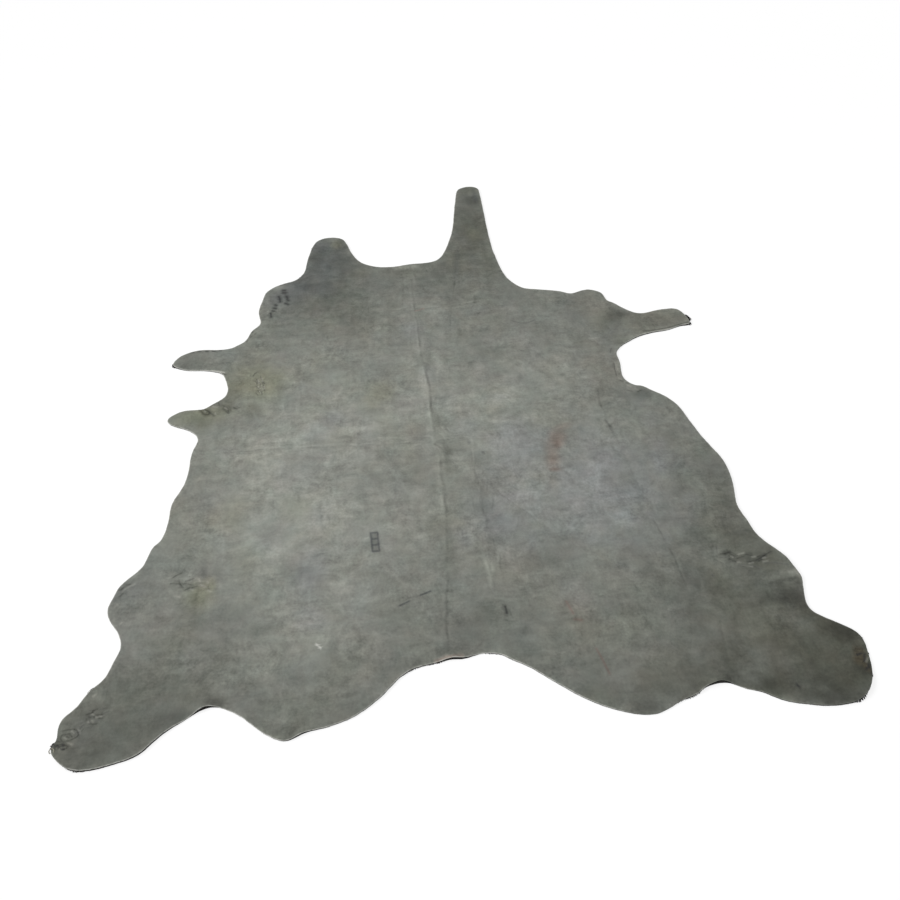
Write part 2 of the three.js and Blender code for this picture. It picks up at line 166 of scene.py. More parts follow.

# Patches of colour, each laid over those before it: most where the tannage took unevenly, and
# some painted shade and highlight, as their names and comments say. An oval is its middle, its
# half width and half height, and how far it is turned, in degrees. share is how much of the dye shows.
PATCHES = table("dye oval share", {
    # These three darken the head, the tail and the right side: partly the skin's own tone, partly painted
    # shade where the light falls off towards the hide's ends.
    "whole neck": ("smoke", (-60, 800, 560, 330), 0.55),
    "whole rump": ("smoke", (0, -1150, 1250, 350), 0.45),
    "right side": ("smoke", (960, -450, 300, 600), 0.3),
    "left shoulder": ("smoke", (-900, 180, 260, 280), 0.5),
    "left barrel": ("chalk", (-480, -250, 330, 420), 0.85),
    "left loin": ("chalk", (-330, -520, 260, 200), 0.5),
    "withers": ("chalk", (160, -20, 420, 190), 0.6),
    "right ribs, pale": ("chalk", (330, -420, 200, 260), 0.55),
    "right shoulder": ("chalk", (370, 130, 160, 120), 0.35),
    "right barrel": ("blue", (460, -430, 290, 260), 0.85),
    "right ribs": ("blue", (240, -230, 150, 130), 0.8),
    "right loin": ("blue", (160, -480, 130, 170), 0.7),
    "left neck lobe": ("slate", (-380, 760, 140, 200), 0.85),
    "left cheek": ("slate", (-470, 590, 170, 120, 30), 0.7),
    "left throat": ("smoke", (-300, 520, 180, 150), 0.65),
    "right neck strip": ("moss", (235, 930, 120, 330), 0.6),
    "right throat": ("smoke", (260, 520, 180, 130), 0.3),
    "left rump": ("chalk", (-420, -830, 230, 170), 0.45),
    "right fore shade": ("smoke", (790, 300, 200, 90), 0.4),
    "right hock": ("moss", (1010, -920, 130, 90), 0.5),
    "right cheek": ("smoke", (700, 340, 60, 50), 0.6),
    "right fore shank": ("clay", (830, 300, 170, 90), 0.6),
    "rump": ("smoke", (20, -830, 240, 110), 0.2),
    "right buttock": ("moss", (560, -1090, 240, 110), 0.55),
    # Painted shade along the backbone's trough.
    "backbone, trough shade": ("smoke", (-22, -660, 26, 210, -4), 0.4),
    "right hind thigh": ("moss", (790, -960, 230, 200), 0.62),
    "right hind shank": ("moss", (1000, -1080, 230, 190), 0.9),
    "right flank": ("moss", (870, -700, 150, 240), 0.6),
    "left hind shank": ("smoke", (-980, -1080, 240, 150), 0.85),
    "left hind thigh": ("smoke", (-850, -980, 190, 180), 0.6),
    "left flank": ("ash", (-930, -700, 110, 120), 0.5),
    "left elbow": ("olive", (-610, 130, 130, 130), 0.85),
    "left fore shank": ("olive", (-790, -5, 120, 55, 8), 0.8),
    "left breast": ("straw", (-190, 45, 60, 70), 0.55),
    "left belly": ("straw", (-690, -430, 80, 80), 0.4),
    "left flank stain": ("olive", (-748, -695, 50, 60), 0.8),
    "warm withers": ("clay", (-90, -130, 50, 80), 0.5),
    "warm throat": ("clay", (-310, 350, 110, 70), 0.4),
    "warm belly": ("clay", (-820, -400, 60, 140), 0.4),
    "warm rump": ("clay", (170, -700, 130, 60), 0.4),
    "warm thigh": ("clay", (330, -890, 70, 110), 0.4),
    "warm shoulder": ("clay", (590, 90, 80, 150), 0.6),
    "warm ribs": ("clay", (75, -70, 40, 50), 0.5),
    "warm cheek": ("clay", (620, 410, 90, 90), 0.5),
    "blue loin": ("blue", (-430, -640, 60, 130), 0.5),
    "blue shoulder": ("blue", (-350, -60, 60, 60), 0.5),
    "blue withers": ("blue", (-50, 340, 50, 60), 0.4),
    "blue fore shank": ("ash", (-780, 270, 90, 40), 0.5),
    # Painted shade round the left flank's knife scores.
    "flank scores' shade": ("smoke", (-782, -670, 18, 10), 0.7),
    "flank stain, upper": ("olive", (-722, -665, 22, 34), 0.7),
    "flank bruise": ("slate", (-741, -622, 12, 28), 0.4),
    # Painted shade on the shaded sides of the right flank's waves, and painted highlight on the lower
    # wave's crest.
    "rim wave's shade, upper": ("smoke", (852, -538, 22, 20, 20), 0.5),
    "rim wave's shade, middle": ("smoke", (862, -648, 50, 9), 0.6),
    "rim wave's shade, lower": ("smoke", (925, -862, 76, 40), 0.7),
    "rim wave's highlight": ("chalk", (950, -796, 60, 10, 8), 0.3),
    "neck strip, dark edge": ("slate", (272, 1130, 16, 70), 0.7),
    "neck strip, olive": ("olive", (235, 870, 40, 50), 0.4),
    "neck strip, stripe": ("slate", (146, 690, 14, 110, -8), 0.5),
    "neck lobe, straw": ("straw", (-318, 868, 26, 34), 0.45),
    "pink tip": ("clay", (1009, -1078, 14, 14), 0.25),
    "rust, top": ("rust", (404, -178, 52, 24, 25), 0.5),
    "rust, upper": ("rust", (380, -226, 36, 58, -20), 0.85),
    "rust, lower": ("rust", (348, -306, 32, 60, -12), 0.8),
    "rust, foot": ("umber", (344, -353, 26, 11), 0.7),
    "rust, heel": ("umber", (374, -250, 16, 26, -16), 0.45),
    # Painted shade beside the backbone's kink.
    "kink, shade": ("smoke", (18, -242, 20, 26), 0.75),
    "kink, shade below": ("smoke", (10, -300, 14, 46), 0.5),
    # Painted shade along the backbone at the withers.
    "withers, shade": ("smoke", (-6, -120, 12, 60), 0.35),
    "kink, spot": ("slate", (87, -214, 9, 9), 0.6),
    "ribs, spot": ("slate", (128, -258, 9, 11, 30), 0.6),
    "rust, side": ("smoke", (328, -276, 16, 80, -6), 0.2),
    "rust, trail": ("clay", (334, -400, 22, 50), 0.4),
})

# Smaller smudges, as ovals. gain is what each kind multiplies the colour under it by.
SMUDGES = table("gain ovals", {
    "dim": ((0.88, 0.88, 0.88), [
        # The first two dim ovals paint the shade below the right flank's lower wave.
        (976, -846, 16, 36), (905, -838, 40, 14), (-420, -250, 35, 90), (-320, -270, 45, 60),
        (-250, -330, 60, 40), (-165, -230, 50, 30), (-480, -640, 60, 14), (-300, -642, 16, 14),
        (-745, -285, 16, 22), (-680, -760, 40, 40), (-370, 530, 50, 60), (-290, 400, 60, 50),
        (-210, 560, 60, 40), (-120, 400, 30, 60), (6, -250, 14, 60), (30, -140, 24, 30),
        (10, -205, 30, 16), (90, 470, 14, 90), (115, 300, 14, 60), (175, 215, 45, 60), (240, 200, 30, 40),
        (150, 395, 14, 20), (215, 310, 40, 16), (100, -480, 34, 50), (118, -420, 26, 40),
        (105, -580, 22, 60), (212, -512, 24, 22), (545, 240, 12, 80), (505, 120, 14, 60),
        (590, -40, 60, 26), (600, -470, 20, 60), (745, -250, 30, 50), (700, -60, 40, 30),
        (640, -560, 30, 40), (800, -420, 50, 40), (320, -610, 70, 20), (70, -620, 24, 40),
        (560, -760, 40, 60), (480, -720, 60, 18), (-150, -700, 70, 16), (-60, -830, 16, 80),
        (250, -760, 70, 20), (160, -900, 50, 30), (-560, -820, 70, 24), (-300, -960, 50, 40),
        (-700, -620, 14, 50), (-740, -590, 12, 44), (-640, -70, 50, 24), (-700, 30, 34, 26),
        (-540, 300, 60, 30), (-470, 180, 14, 70), (-210, 660, 70, 30), (250, 650, 50, 90),
        (330, 600, 40, 40), (250, 850, 50, 40), (-500, 400, 120, 60), (-280, 340, 50, 40),
        (-310, 620, 60, 100), (840, 290, 90, 40), (-810, 260, 80, 40), (-710, 90, 30, 60),
        (-760, -700, 50, 130), (-700, -840, 100, 60), (-600, -770, 60, 50), (-920, -1040, 60, 50),
        (0, -900, 110, 60), (100, -860, 60, 30), (115, -510, 50, 50), (230, -550, 60, 30),
        (310, -660, 70, 60), (690, -440, 60, 70), (830, -400, 50, 40), (450, -1170, 100, 30),
        (-500, -1130, 40, 30), (0, -100, 24, 40), (560, 350, 60, 50), (640, -680, 60, 60),
        (-410, -160, 40, 40), (-490, -220, 40, 60), (-690, -150, 60, 30), (-900, -650, 60, 60),
        (20, 580, 60, 60), (880, -1120, 160, 50), (-390, 780, 50, 50), (-400, 610, 40, 40),
        (-400, 440, 30, 70), (-250, 430, 50, 50), (-130, 480, 50, 40), (215, 720, 30, 110),
        (260, 1090, 40, 60), (420, -10, 40, 40), (380, 90, 30, 40), (670, 220, 50, 40), (-700, 60, 40, 60),
        (-310, -480, 60, 40), (-530, -290, 40, 60), (160, -850, 60, 30), (500, -880, 80, 40),
        (1040, -990, 50, 40), (850, -520, 40, 30), (-790, -1060, 60, 20), (-960, -710, 50, 60),
        (600, -880, 60, 60), (-300, 600, 30, 100), (-760, -50, 50, 40), (-330, 740, 40, 40),
        (-300, 840, 40, 50), (90, 690, 24, 40), (200, 600, 40, 60), (780, 330, 40, 40), (560, 420, 60, 40),
        (640, 260, 60, 50), (940, 310, 40, 30), (-620, 20, 30, 80), (-740, 10, 60, 30),
        (-640, -170, 40, 30), (-560, -300, 40, 60), (-350, -460, 50, 30), (-920, -580, 40, 40),
        (-960, -740, 40, 60), (-780, -780, 60, 60), (560, -740, 60, 80), (700, -640, 60, 80),
        (740, -400, 40, 80), (640, -880, 60, 60), (360, -900, 40, 40), (430, -860, 50, 50),
        (90, -820, 50, 40), (-500, -1110, 50, 30), (-980, -1120, 40, 30), (600, -1080, 60, 60),
        (480, -300, 40, 40), (-20, -870, 60, 40), (230, -760, 50, 40), (280, -1100, 40, 30),
        (860, -875, 40, 40), (1055, -1090, 36, 40), (965, -990, 50, 50), (735, -1110, 40, 30),
        (-425, 600, 40, 40), (765, -745, 40, 40), (630, -795, 40, 40), (675, -840, 40, 40),
        (85, 660, 30, 40), (-430, 450, 40, 40), (-280, 360, 50, 40), (70, -10, 50, 40),
        (-675, 115, 50, 40), (650, -65, 40, 40), (-795, -10, 40, 30), (225, -20, 40, 40),
        (-175, 30, 40, 40), (-215, 430, 40, 40), (-340, 750, 40, 40), (130, 510, 40, 40),
        (-785, -960, 50, 40), (-75, 550, 40, 40), (-530, 345, 40, 40), (-410, 340, 40, 40)]),
    "deep": ((0.77, 0.77, 0.77), [
        # The first deep oval paints the shade below the right flank's lower wave, and (-710, -1010) painted
        # shade beside the left hind notch.
        (978, -852, 10, 34), (250, 1090, 50, 60), (-400, 790, 34, 60), (-290, 740, 50, 60),
        (-310, 880, 30, 24), (-430, 635, 50, 40), (-400, 500, 50, 60), (-520, 480, 60, 50),
        (70, 640, 40, 80), (700, 330, 60, 50), (690, 195, 34, 24), (-800, -30, 60, 36),
        (-645, -20, 60, 60), (-960, -650, 60, 50), (-780, -1050, 80, 30), (-710, -1010, 60, 40),
        (-1020, -1140, 60, 40), (215, -695, 40, 46), (690, -780, 80, 80), (730, -650, 50, 60),
        (930, -880, 70, 50), (1040, -990, 70, 50), (820, -1140, 130, 50), (980, -1170, 110, 44),
        (1066, -1120, 40, 60), (710, -1100, 60, 40), (-60, -940, 50, 26), (450, -1160, 50, 24),
        (690, -800, 60, 60), (980, -1185, 120, 30), (1068, -1090, 26, 40), (760, -1130, 50, 30),
        (940, -890, 50, 30), (-600, 360, 60, 24), (-380, 380, 26, 40), (655, -780, 40, 80),
        (925, -870, 50, 30), (1040, -1000, 40, 40), (755, -1115, 40, 30), (1000, -1195, 110, 26),
        (-360, 620, 26, 40), (730, 345, 40, 20), (700, -60, 40, 30), (860, -875, 30, 30),
        (1060, -1090, 24, 40)]),
    "light": ((1.1, 1.1, 1.1), [
        (-190, 560, 50, 60), (-90, 400, 50, 40), (-40, 250, 30, 60), (280, 265, 90, 60),
        (370, 240, 50, 70), (-600, 250, 50, 50), (570, -30, 50, 40), (190, -250, 120, 40),
        (200, -420, 40, 60), (370, -490, 50, 30), (480, -450, 40, 70), (-610, -540, 70, 60),
        (-530, -690, 50, 70), (-160, -620, 60, 60), (-220, -730, 50, 30), (-180, -480, 50, 50),
        (-800, -440, 60, 100), (-560, -940, 70, 40), (-290, -970, 40, 40), (-240, -1040, 60, 40),
        (200, -910, 50, 30), (250, -980, 50, 50), (430, -1000, 50, 80), (810, -970, 60, 60),
        (900, -790, 70, 34), (870, -590, 40, 24), (440, -140, 50, 50), (40, 470, 70, 50),
        (-40, 250, 40, 80), (0, 450, 50, 60), (-100, 100, 30, 60), (-300, -40, 50, 90),
        (-200, -160, 60, 50), (-50, -210, 60, 30), (160, -230, 90, 40), (500, -70, 30, 90),
        (-640, -590, 60, 60), (-780, -640, 26, 40), (-350, -690, 30, 30), (-220, -750, 50, 20),
        (-600, -950, 60, 30), (-300, -980, 40, 40), (400, -1070, 60, 40), (430, -600, 40, 50),
        (640, -550, 30, 30), (570, -380, 60, 30), (830, -1110, 30, 20), (960, -1100, 40, 26),
        (-450, 190, 50, 30), (890, -600, 30, 30), (-400, 80, 50, 40), (840, -900, 60, 30),
        (20, 300, 60, 40), (-60, 180, 40, 60), (110, 110, 30, 30), (-200, 200, 60, 60), (230, 440, 40, 40),
        (-290, 600, 50, 60), (-190, 540, 40, 60), (-480, 140, 40, 40), (-580, 60, 40, 60),
        (-230, -120, 60, 60), (-100, -90, 60, 24), (0, -170, 50, 40), (100, -190, 50, 60),
        (160, -320, 30, 60), (380, -140, 60, 30), (340, -200, 50, 30), (490, 0, 30, 40),
        (600, -160, 50, 50), (-140, -330, 50, 60), (-80, -470, 30, 40), (-470, -500, 60, 40),
        (-580, -670, 70, 30), (-560, -780, 50, 40), (-780, -640, 30, 40), (-340, -700, 50, 40),
        (-220, -680, 60, 60), (-100, -700, 50, 40), (460, -420, 40, 100), (280, -480, 40, 40),
        (590, -370, 40, 40), (-700, -500, 40, 60), (-560, -940, 60, 40), (-300, -1000, 40, 50),
        (-180, -1000, 30, 30), (200, -930, 50, 50), (420, -1060, 60, 40), (880, -610, 30, 40),
        (890, -700, 50, 40), (770, -820, 30, 30), (830, -1120, 40, 20), (960, -1090, 30, 30),
        (-1050, -1030, 30, 30), (800, -950, 60, 60), (-790, 180, 30, 60), (-60, -265, 40, 40),
        (620, -880, 40, 40), (485, -15, 50, 40), (-515, -745, 40, 40), (530, -120, 40, 40),
        (-355, 620, 40, 40), (-135, -120, 40, 40), (845, -600, 40, 30), (205, -160, 40, 40),
        (-70, -90, 40, 40), (-280, 30, 40, 40), (50, -570, 30, 40), (-60, 170, 40, 40),
        (-355, -625, 40, 40), (410, -146, 40, 40)]),
    "bright": ((1.18, 1.18, 1.18), [
        # The first bright oval paints light at the foot of the right flank's lower wave, and (-40, -160)
        # and (-30, -440) a painted highlight along the backbone's ridge.
        (941, -880, 20, 10), (-560, -300, 60, 80), (-600, -480, 70, 60), (-340, -470, 60, 50),
        (-420, -40, 50, 50), (-500, -550, 70, 50), (-150, -60, 60, 40), (-110, -420, 50, 60),
        (-200, -520, 60, 30), (-40, -160, 12, 50), (-30, -440, 12, 60), (60, -20, 40, 60),
        (240, -20, 60, 50), (60, 440, 70, 12), (20, 180, 24, 70), (-40, 60, 16, 90), (360, 90, 60, 50),
        (460, 110, 30, 60), (420, 0, 60, 40), (250, -420, 50, 60), (380, -480, 50, 60),
        (470, -330, 50, 50), (520, -560, 60, 50), (680, -420, 40, 60), (90, -700, 14, 60),
        (160, -640, 40, 30), (-620, -200, 60, 20), (-300, -120, 90, 14), (-200, -170, 80, 12),
        (-330, 120, 60, 50), (-480, -700, 50, 30), (-560, -640, 50, 24), (-260, -760, 50, 24),
        (-400, -860, 60, 30), (-90, -570, 40, 30), (60, -300, 30, 50), (330, -130, 60, 24),
        (560, -250, 40, 40), (-60, 700, 90, 18), (510, 60, 70, 100), (-90, 0, 50, 60),
        (-200, -110, 80, 50), (-300, -230, 50, 80), (-110, -220, 70, 40), (500, -190, 60, 60),
        (420, -590, 40, 50), (-50, 696, 70, 16), (-600, 560, 20, 50), (-560, 630, 60, 14),
        (-60, 692, 60, 14), (-540, 620, 50, 20), (110, -230, 40, 40), (660, 355, 24, 24)]),
    "bluer": ((0.995, 1.0, 1.04), [
        (-480, 600, 90, 60), (-380, 600, 60, 60), (-400, 860, 60, 60), (-400, -100, 60, 60),
        (-700, -170, 80, 40), (0, 100, 60, 80), (200, -30, 60, 40), (440, -100, 50, 50),
        (80, -130, 80, 100), (700, -320, 40, 140), (700, -600, 60, 60), (560, -560, 70, 40),
        (300, -600, 80, 50), (40, -580, 40, 40), (860, -600, 60, 50), (320, -800, 70, 60),
        (-430, -810, 70, 50), (-390, -440, 50, 60), (-180, 320, 40, 40), (180, 420, 70, 50),
        (25, -580, 50, 60), (710, -180, 50, 50), (752, -370, 50, 60), (755, -530, 50, 50)]),
    "warmer": ((1.005, 1.0, 0.96), [
        (-790, 270, 80, 40), (-700, 80, 50, 60), (-790, -60, 50, 30), (150, 690, 60, 80),
        (690, 200, 50, 60), (620, 300, 60, 60), (-400, 110, 50, 40), (-180, -110, 60, 110),
        (-110, -280, 50, 110), (-900, -720, 60, 60), (-780, -830, 70, 50), (-630, -580, 60, 90),
        (-480, -430, 60, 60), (560, -410, 70, 50), (200, -500, 40, 40), (440, -680, 80, 40),
        (720, -780, 60, 60), (930, -760, 60, 60), (300, -1120, 90, 40), (780, -1150, 120, 50),
        (-1060, -1090, 40, 50), (-230, 680, 60, 40), (-370, 420, 60, 60), (-625, 10, 50, 50),
        (260, 1170, 40, 40), (-235, -5, 50, 50)]),
})

# Marks of a pen, a scratch or a knife, each a set of strokes through their places. depth is how
# deep the strokes are cut.
# Where strokes are cut, their dark ink is partly their own colour and partly painted shade in the cut.
MARKS = table("ink width depth strokes", {
    "pen dashes, outer row": ("black", 8, 0, [
        [(-546, 576), (-541, 562)], [(-541, 558), (-539, 543)], [(-558, 529), (-552, 525)],
        [(-563, 512), (-553, 507)], [(-569, 497), (-560, 495)], [(-574, 485), (-571, 463)]]),
    "pen dashes, inner row": ("black", 9, 0, [
        [(-531, 609), (-521, 608)], [(-530, 595), (-519, 593)], [(-516, 575), (-513, 563)],
        [(-513, 553), (-508, 548)], [(-521, 535), (-509, 526)]]),
    "ink box, ground": ("washed", 11, 0, [[(-244, -538), (-242, -596)], [(-235, -538), (-233, -596)]]),
    "ink box, frame": ("faded", 5, 0, [
        [(-250, -534), (-229, -534), (-227, -600), (-247, -600), (-250, -534)],
        [(-247, -556), (-231, -556)], [(-246, -578), (-230, -578)]]),
    "nape score": ("tan", 4, 0, [[(-38, 438), (-26, 440), (-4, 450)]]),
    "left fore rim, dark": ("soiled", 4, 0, [
        [(-822, 312), (-812, 311)], [(-799, 308), (-792, 307)], [(-776, 303), (-768, 302)],
        [(-656, 340), (-652, 347)], [(-644, 360), (-640, 366)], [(-628, 376), (-624, 384)],
        [(-766, 198), (-744, 192), (-722, 181)]]),
    "left fore rim, pale": ("pared", 4, 0, [[(-812, 213), (-782, 208), (-752, 202), (-726, 191)]]),
    "thigh scratch": ("red", 5, 0, [[(348, -978), (357, -1008), (368, -1052)]]),
    "thigh fleck": ("red", 6, 0, [[(306, -884), (326, -889)], [(294, -826), (306, -866)]]),
    "rump nick": ("black", 7, 0, [[(118, -822), (120, -834), (120, -845)]]),
    "rump nick's shade": ("soiled", 4, 0, [[(129, -836), (131, -852)]]),
    "fore shank scar": ("sooty", 8, 0.8, [
        [(-799, 24), (-792, 14), (-787, 6), (-779, 0), (-770, 0), (-766, 7), (-774, 18), (-788, 24)]]),
    "fore shank scar, tail": ("scored", 7, 0.8, [[(-769, 15), (-761, 5), (-751, -6)]]),
    "fore shank rim": ("soiled", 4, 0, [[(-780, 32), (-762, 40), (-744, 48)]]),
    "fore shank rim, pale": ("bare", 5, 0, [[(-758, 36), (-743, 31)]]),
    "elbow scores": ("scored", 7, 0.8, [
        [(-722, 36), (-710, 28), (-703, 16), (-701, 0)], [(-722, 22), (-712, 12), (-706, 3)],
        [(-684, 22), (-676, 17)], [(-740, 54), (-734, 40)]]),
    "elbow threads": ("soiled", 4, 0.7, [
        [(-613, 150), (-609, 132)], [(-604, 133), (-599, 119)], [(-615, 117), (-603, 102)],
        [(-600, 160), (-594, 141), (-590, 121), (-586, 104), (-584, 90)], [(-607, 96), (-602, 84)],
        [(-596, 88), (-592, 76)], [(-618, 140), (-611, 128)], [(-590, 134), (-585, 124)],
        [(-626, 166), (-622, 176), (-614, 182)], [(-612, 80), (-606, 72)]]),
    "elbow flecks": ("bare", 4, 0, [
        [(-609, 145), (-604, 124)], [(-608, 114), (-598, 98)], [(-596, 116), (-592, 96)],
        [(-594, 134), (-597, 150)], [(-602, 90), (-597, 80)], [(-588, 112), (-586, 100)],
        [(-716, 26), (-708, 18)], [(-784, 18), (-781, 14)], [(-748, 4), (-745, -3)]]),
    "flank scores": ("soiled", 6, 0.9, [
        [(-829, -628), (-818, -621), (-807, -616)], [(-834, -648), (-826, -647)],
        [(-820, -649), (-806, -651)], [(-809, -643), (-806, -651)], [(-803, -655), (-800, -660)],
        [(-792, -645), (-782, -642), (-771, -638)], [(-797, -652), (-788, -651)],
        [(-781, -655), (-771, -658)], [(-790, -673), (-780, -669)], [(-772, -668), (-758, -664)],
        [(-723, -673), (-721, -678)]]),
    "flank flecks": ("bare", 5, 0, [
        [(-753, -643), (-750, -650)], [(-740, -664), (-733, -670)], [(-729, -652), (-726, -657)],
        [(-748, -661), (-744, -664)], [(-776, -672), (-768, -676)], [(-724, -682), (-718, -686)],
        [(-814, -690), (-804, -696)]]),
    "shank scores": ("scored", 6, 0.9, [
        [(-1013, -1022), (-1001, -1018)], [(-1000, -1014), (-989, -1010)],
        [(-1008, -1028), (-1004, -1031)], [(-996, -1028), (-992, -1031)], [(-987, -1026), (-975, -1027)],
        [(-983, -1036), (-973, -1036)], [(-1004, -1047), (-996, -1051), (-985, -1050)],
        [(-1012, -1036), (-1009, -1042)]]),
    "shank flecks": ("bare", 4, 0, [
        [(-1002, -1023), (-997, -1026)], [(-990, -1032), (-986, -1034)], [(-981, -1031), (-976, -1032)],
        [(-1010, -1042), (-1006, -1046)], [(-1000, -1040), (-995, -1044)],
        [(-1030, -1062), (-1024, -1072)], [(-1046, -1064), (-1040, -1070)],
        [(-1062, -1080), (-1056, -1084)], [(-1074, -1106), (-1066, -1110)],
        [(-1050, -1096), (-1042, -1100)]]),
    "shank loop": ("soiled", 5, 0.9, [
        [(-1067, -1072), (-1050, -1070), (-1041, -1079)], [(-1055, -1078), (-1050, -1080)],
        [(-1068, -1072), (-1070, -1082), (-1062, -1091), (-1045, -1089), (-1031, -1082), (-1026, -1076),
         (-1032, -1064), (-1041, -1060)],
        [(-1067, -1061), (-1056, -1059), (-1050, -1059)]]),
    "shank tear": ("scored", 6, 1.0, [
        [(-1084, -1095), (-1074, -1099), (-1064, -1097)], [(-1058, -1099), (-1048, -1104)],
        [(-1072, -1108), (-1066, -1104)], [(-1056, -1112), (-1050, -1110)],
        [(-1078, -1088), (-1070, -1090)]]),
    "shank tear, holes": ("black", 5, 0, [
        [(-1086, -1098), (-1080, -1104)], [(-1076, -1100), (-1072, -1104)],
        [(-1062, -1099), (-1060, -1103)], [(-1060, -1112), (-1057, -1112)]]),
    "thigh scores": ("scored", 7, 1.0, [
        [(778, -716), (792, -717)], [(811, -722), (818, -728)], [(799, -736), (806, -741), (814, -745)],
        [(821, -737), (832, -735), (843, -733)], [(854, -727), (867, -732)], [(851, -753), (869, -751)],
        [(905, -736), (916, -731), (928, -726)], [(883, -738), (905, -736)], [(880, -754), (893, -749)]]),
    "thigh gashes": ("gashed", 9, 1.0, [
        [(792, -716), (806, -714)], [(877, -750), (891, -744), (906, -736)]]),
    "thigh threads": ("washed", 5, 0.5, [
        [(770, -713), (774, -692)], [(898, -763), (925, -764), (962, -773)], [(826, -762), (836, -762)],
        [(776, -728), (796, -729)], [(852, -764), (868, -770)], [(735, -783), (737, -787)],
        [(875, -777), (881, -779)]]),
    "thigh flecks": ("bare", 4, 0, [
        [(831, -724), (845, -722)], [(866, -738), (876, -738)], [(894, -757), (907, -756)],
        [(852, -758), (864, -757)], [(849, -768), (857, -770)], [(727, -724), (731, -726)],
        [(818, -750), (824, -751)], [(805, -729), (811, -733)], [(896, -746), (906, -744)]]),
    "right fore rim, pale": ("pared", 4, 0, [
        [(780, 230), (793, 231), (824, 235), (851, 240), (875, 245), (898, 249), (930, 256)]]),
    "right fore rim, dark": ("scored", 4, 0, [
        [(786, 244), (814, 245), (852, 250), (892, 258), (932, 266), (956, 271)]]),
    "flank rim scores": ("soiled", 5, 0.7, [
        [(-974, -656), (-966, -648)], [(-958, -641), (-948, -639)], [(-974, -676), (-966, -668)]]),
    "flank rim scuffs": ("bare", 5, 0, [
        [(-968, -660), (-960, -652)], [(-945, -645), (-938, -641)], [(-955, -650), (-950, -647)],
        [(-984, -708), (-978, -702)], [(-962, -764), (-959, -762)], [(-1006, -974), (-1000, -970)]]),
    "shank, faint scores": ("washed", 5, 0.5, [
        [(-1026, -1058), (-1018, -1050)], [(-1030, -1046), (-1020, -1042)],
        [(-1008, -1060), (-1000, -1058)], [(-1034, -1070), (-1026, -1068)], [(-990, -1044), (-980, -1042)],
        [(-970, -1024), (-960, -1020)], [(-978, -1012), (-968, -1010)]]),
    "fore shank ticks": ("gashed", 5, 0, [
        [(-826, 307), (-818, 306)], [(-800, 306), (-792, 305)], [(-775, 304), (-766, 303)],
        [(-750, 304), (-744, 305)], [(-848, 303), (-843, 305)], [(-640, 385), (-636, 392)]]),
    # Painted highlight where the right flank's lower wave meets the rim.
    "flank rim fleck": ("bare", 8, 0, [
        [(960, -799), (976, -799), (990, -805)], [(980, -800), (984, -814)]]),
    "right tip tear": ("brown", 14, 0.6, [
        [(1070, -1056), (1060, -1054)], [(1052, -1066), (1070, -1068)], [(1048, -1080), (1066, -1080)],
        [(1046, -1090), (1062, -1092)], [(1064, -1104), (1066, -1114)]]),
    "right tip specks": ("black", 5, 0, [
        [(1054, -1070), (1068, -1067)], [(1070, -1078), (1076, -1070)], [(1066, -1090), (1072, -1084)],
        [(1060, -1116), (1066, -1110)], [(1074, -1100), (1070, -1110)], [(860, -1138), (863, -1143)]]),
    "right tip fleck": ("bare", 5, 0, [[(1079, -1082), (1071, -1092)]]),
    "dark specks": ("washed", 5, 0, [
        [(733, -781), (736, -786)], [(166, -185), (168, -187)], [(127, -256), (131, -262)],
        [(-640, -905), (-636, -910)]]),
    "armpit ticks": ("soiled", 5, 0.8, [
        [(642, 96), (638, 66), (637, 36)], [(648, 168), (640, 150)], [(644, 12), (652, 7)],
        [(660, -38), (670, -42)], [(692, -47), (702, -43)], [(662, -2), (668, -6)]]),
    "armpit flecks": ("bare", 6, 0, [
        [(640, 24), (648, 16)], [(664, -16), (674, -22)], [(684, -32), (692, -38)],
        [(647, 92), (644, 60)]]),
    "rump cuts": ("faded", 4, 0, [[(-180, -790), (-152, -778)], [(-118, -762), (-88, -751)]]),
    "rump flecks": ("white", 4, 0, [[(-413, -888), (-411, -889)], [(-406, -896), (-404, -897)]]),
    "shoulder wrinkle": ("washed", 4, 0.3, [[(316, 348), (345, 333), (372, 333), (398, 346)]]),
    "tail rim": ("tan", 8, 0, [[(-92, -972), (-60, -965), (-20, -968)]]),
})

# What the marks are drawn in: a colour, and how much of it shows over the skin's own.
# On cut strokes, the dark inks also paint the shade in the cut.
INKS = table("colour share", {
    "black": ((0.030, 0.031, 0.030), 0.92),
    "scored": ((0.052, 0.054, 0.046), 0.64),
    "sooty": ((0.048, 0.048, 0.034), 0.78),
    "gashed": ((0.044, 0.046, 0.040), 0.8),
    "soiled": ((0.062, 0.064, 0.054), 0.5),
    "faded": ((0.066, 0.068, 0.070), 0.85),
    "washed": ((0.105, 0.108, 0.098), 0.5),
    "red": ((0.165, 0.090, 0.078), 0.4),
    "brown": ((0.085, 0.073, 0.050), 0.7),
    "tan": ((0.300, 0.230, 0.200), 0.6),
    "bare": ((0.330, 0.330, 0.290), 0.38),
    "pared": ((0.440, 0.440, 0.400), 0.7),
    "white": ((0.560, 0.560, 0.520), 0.8),
})

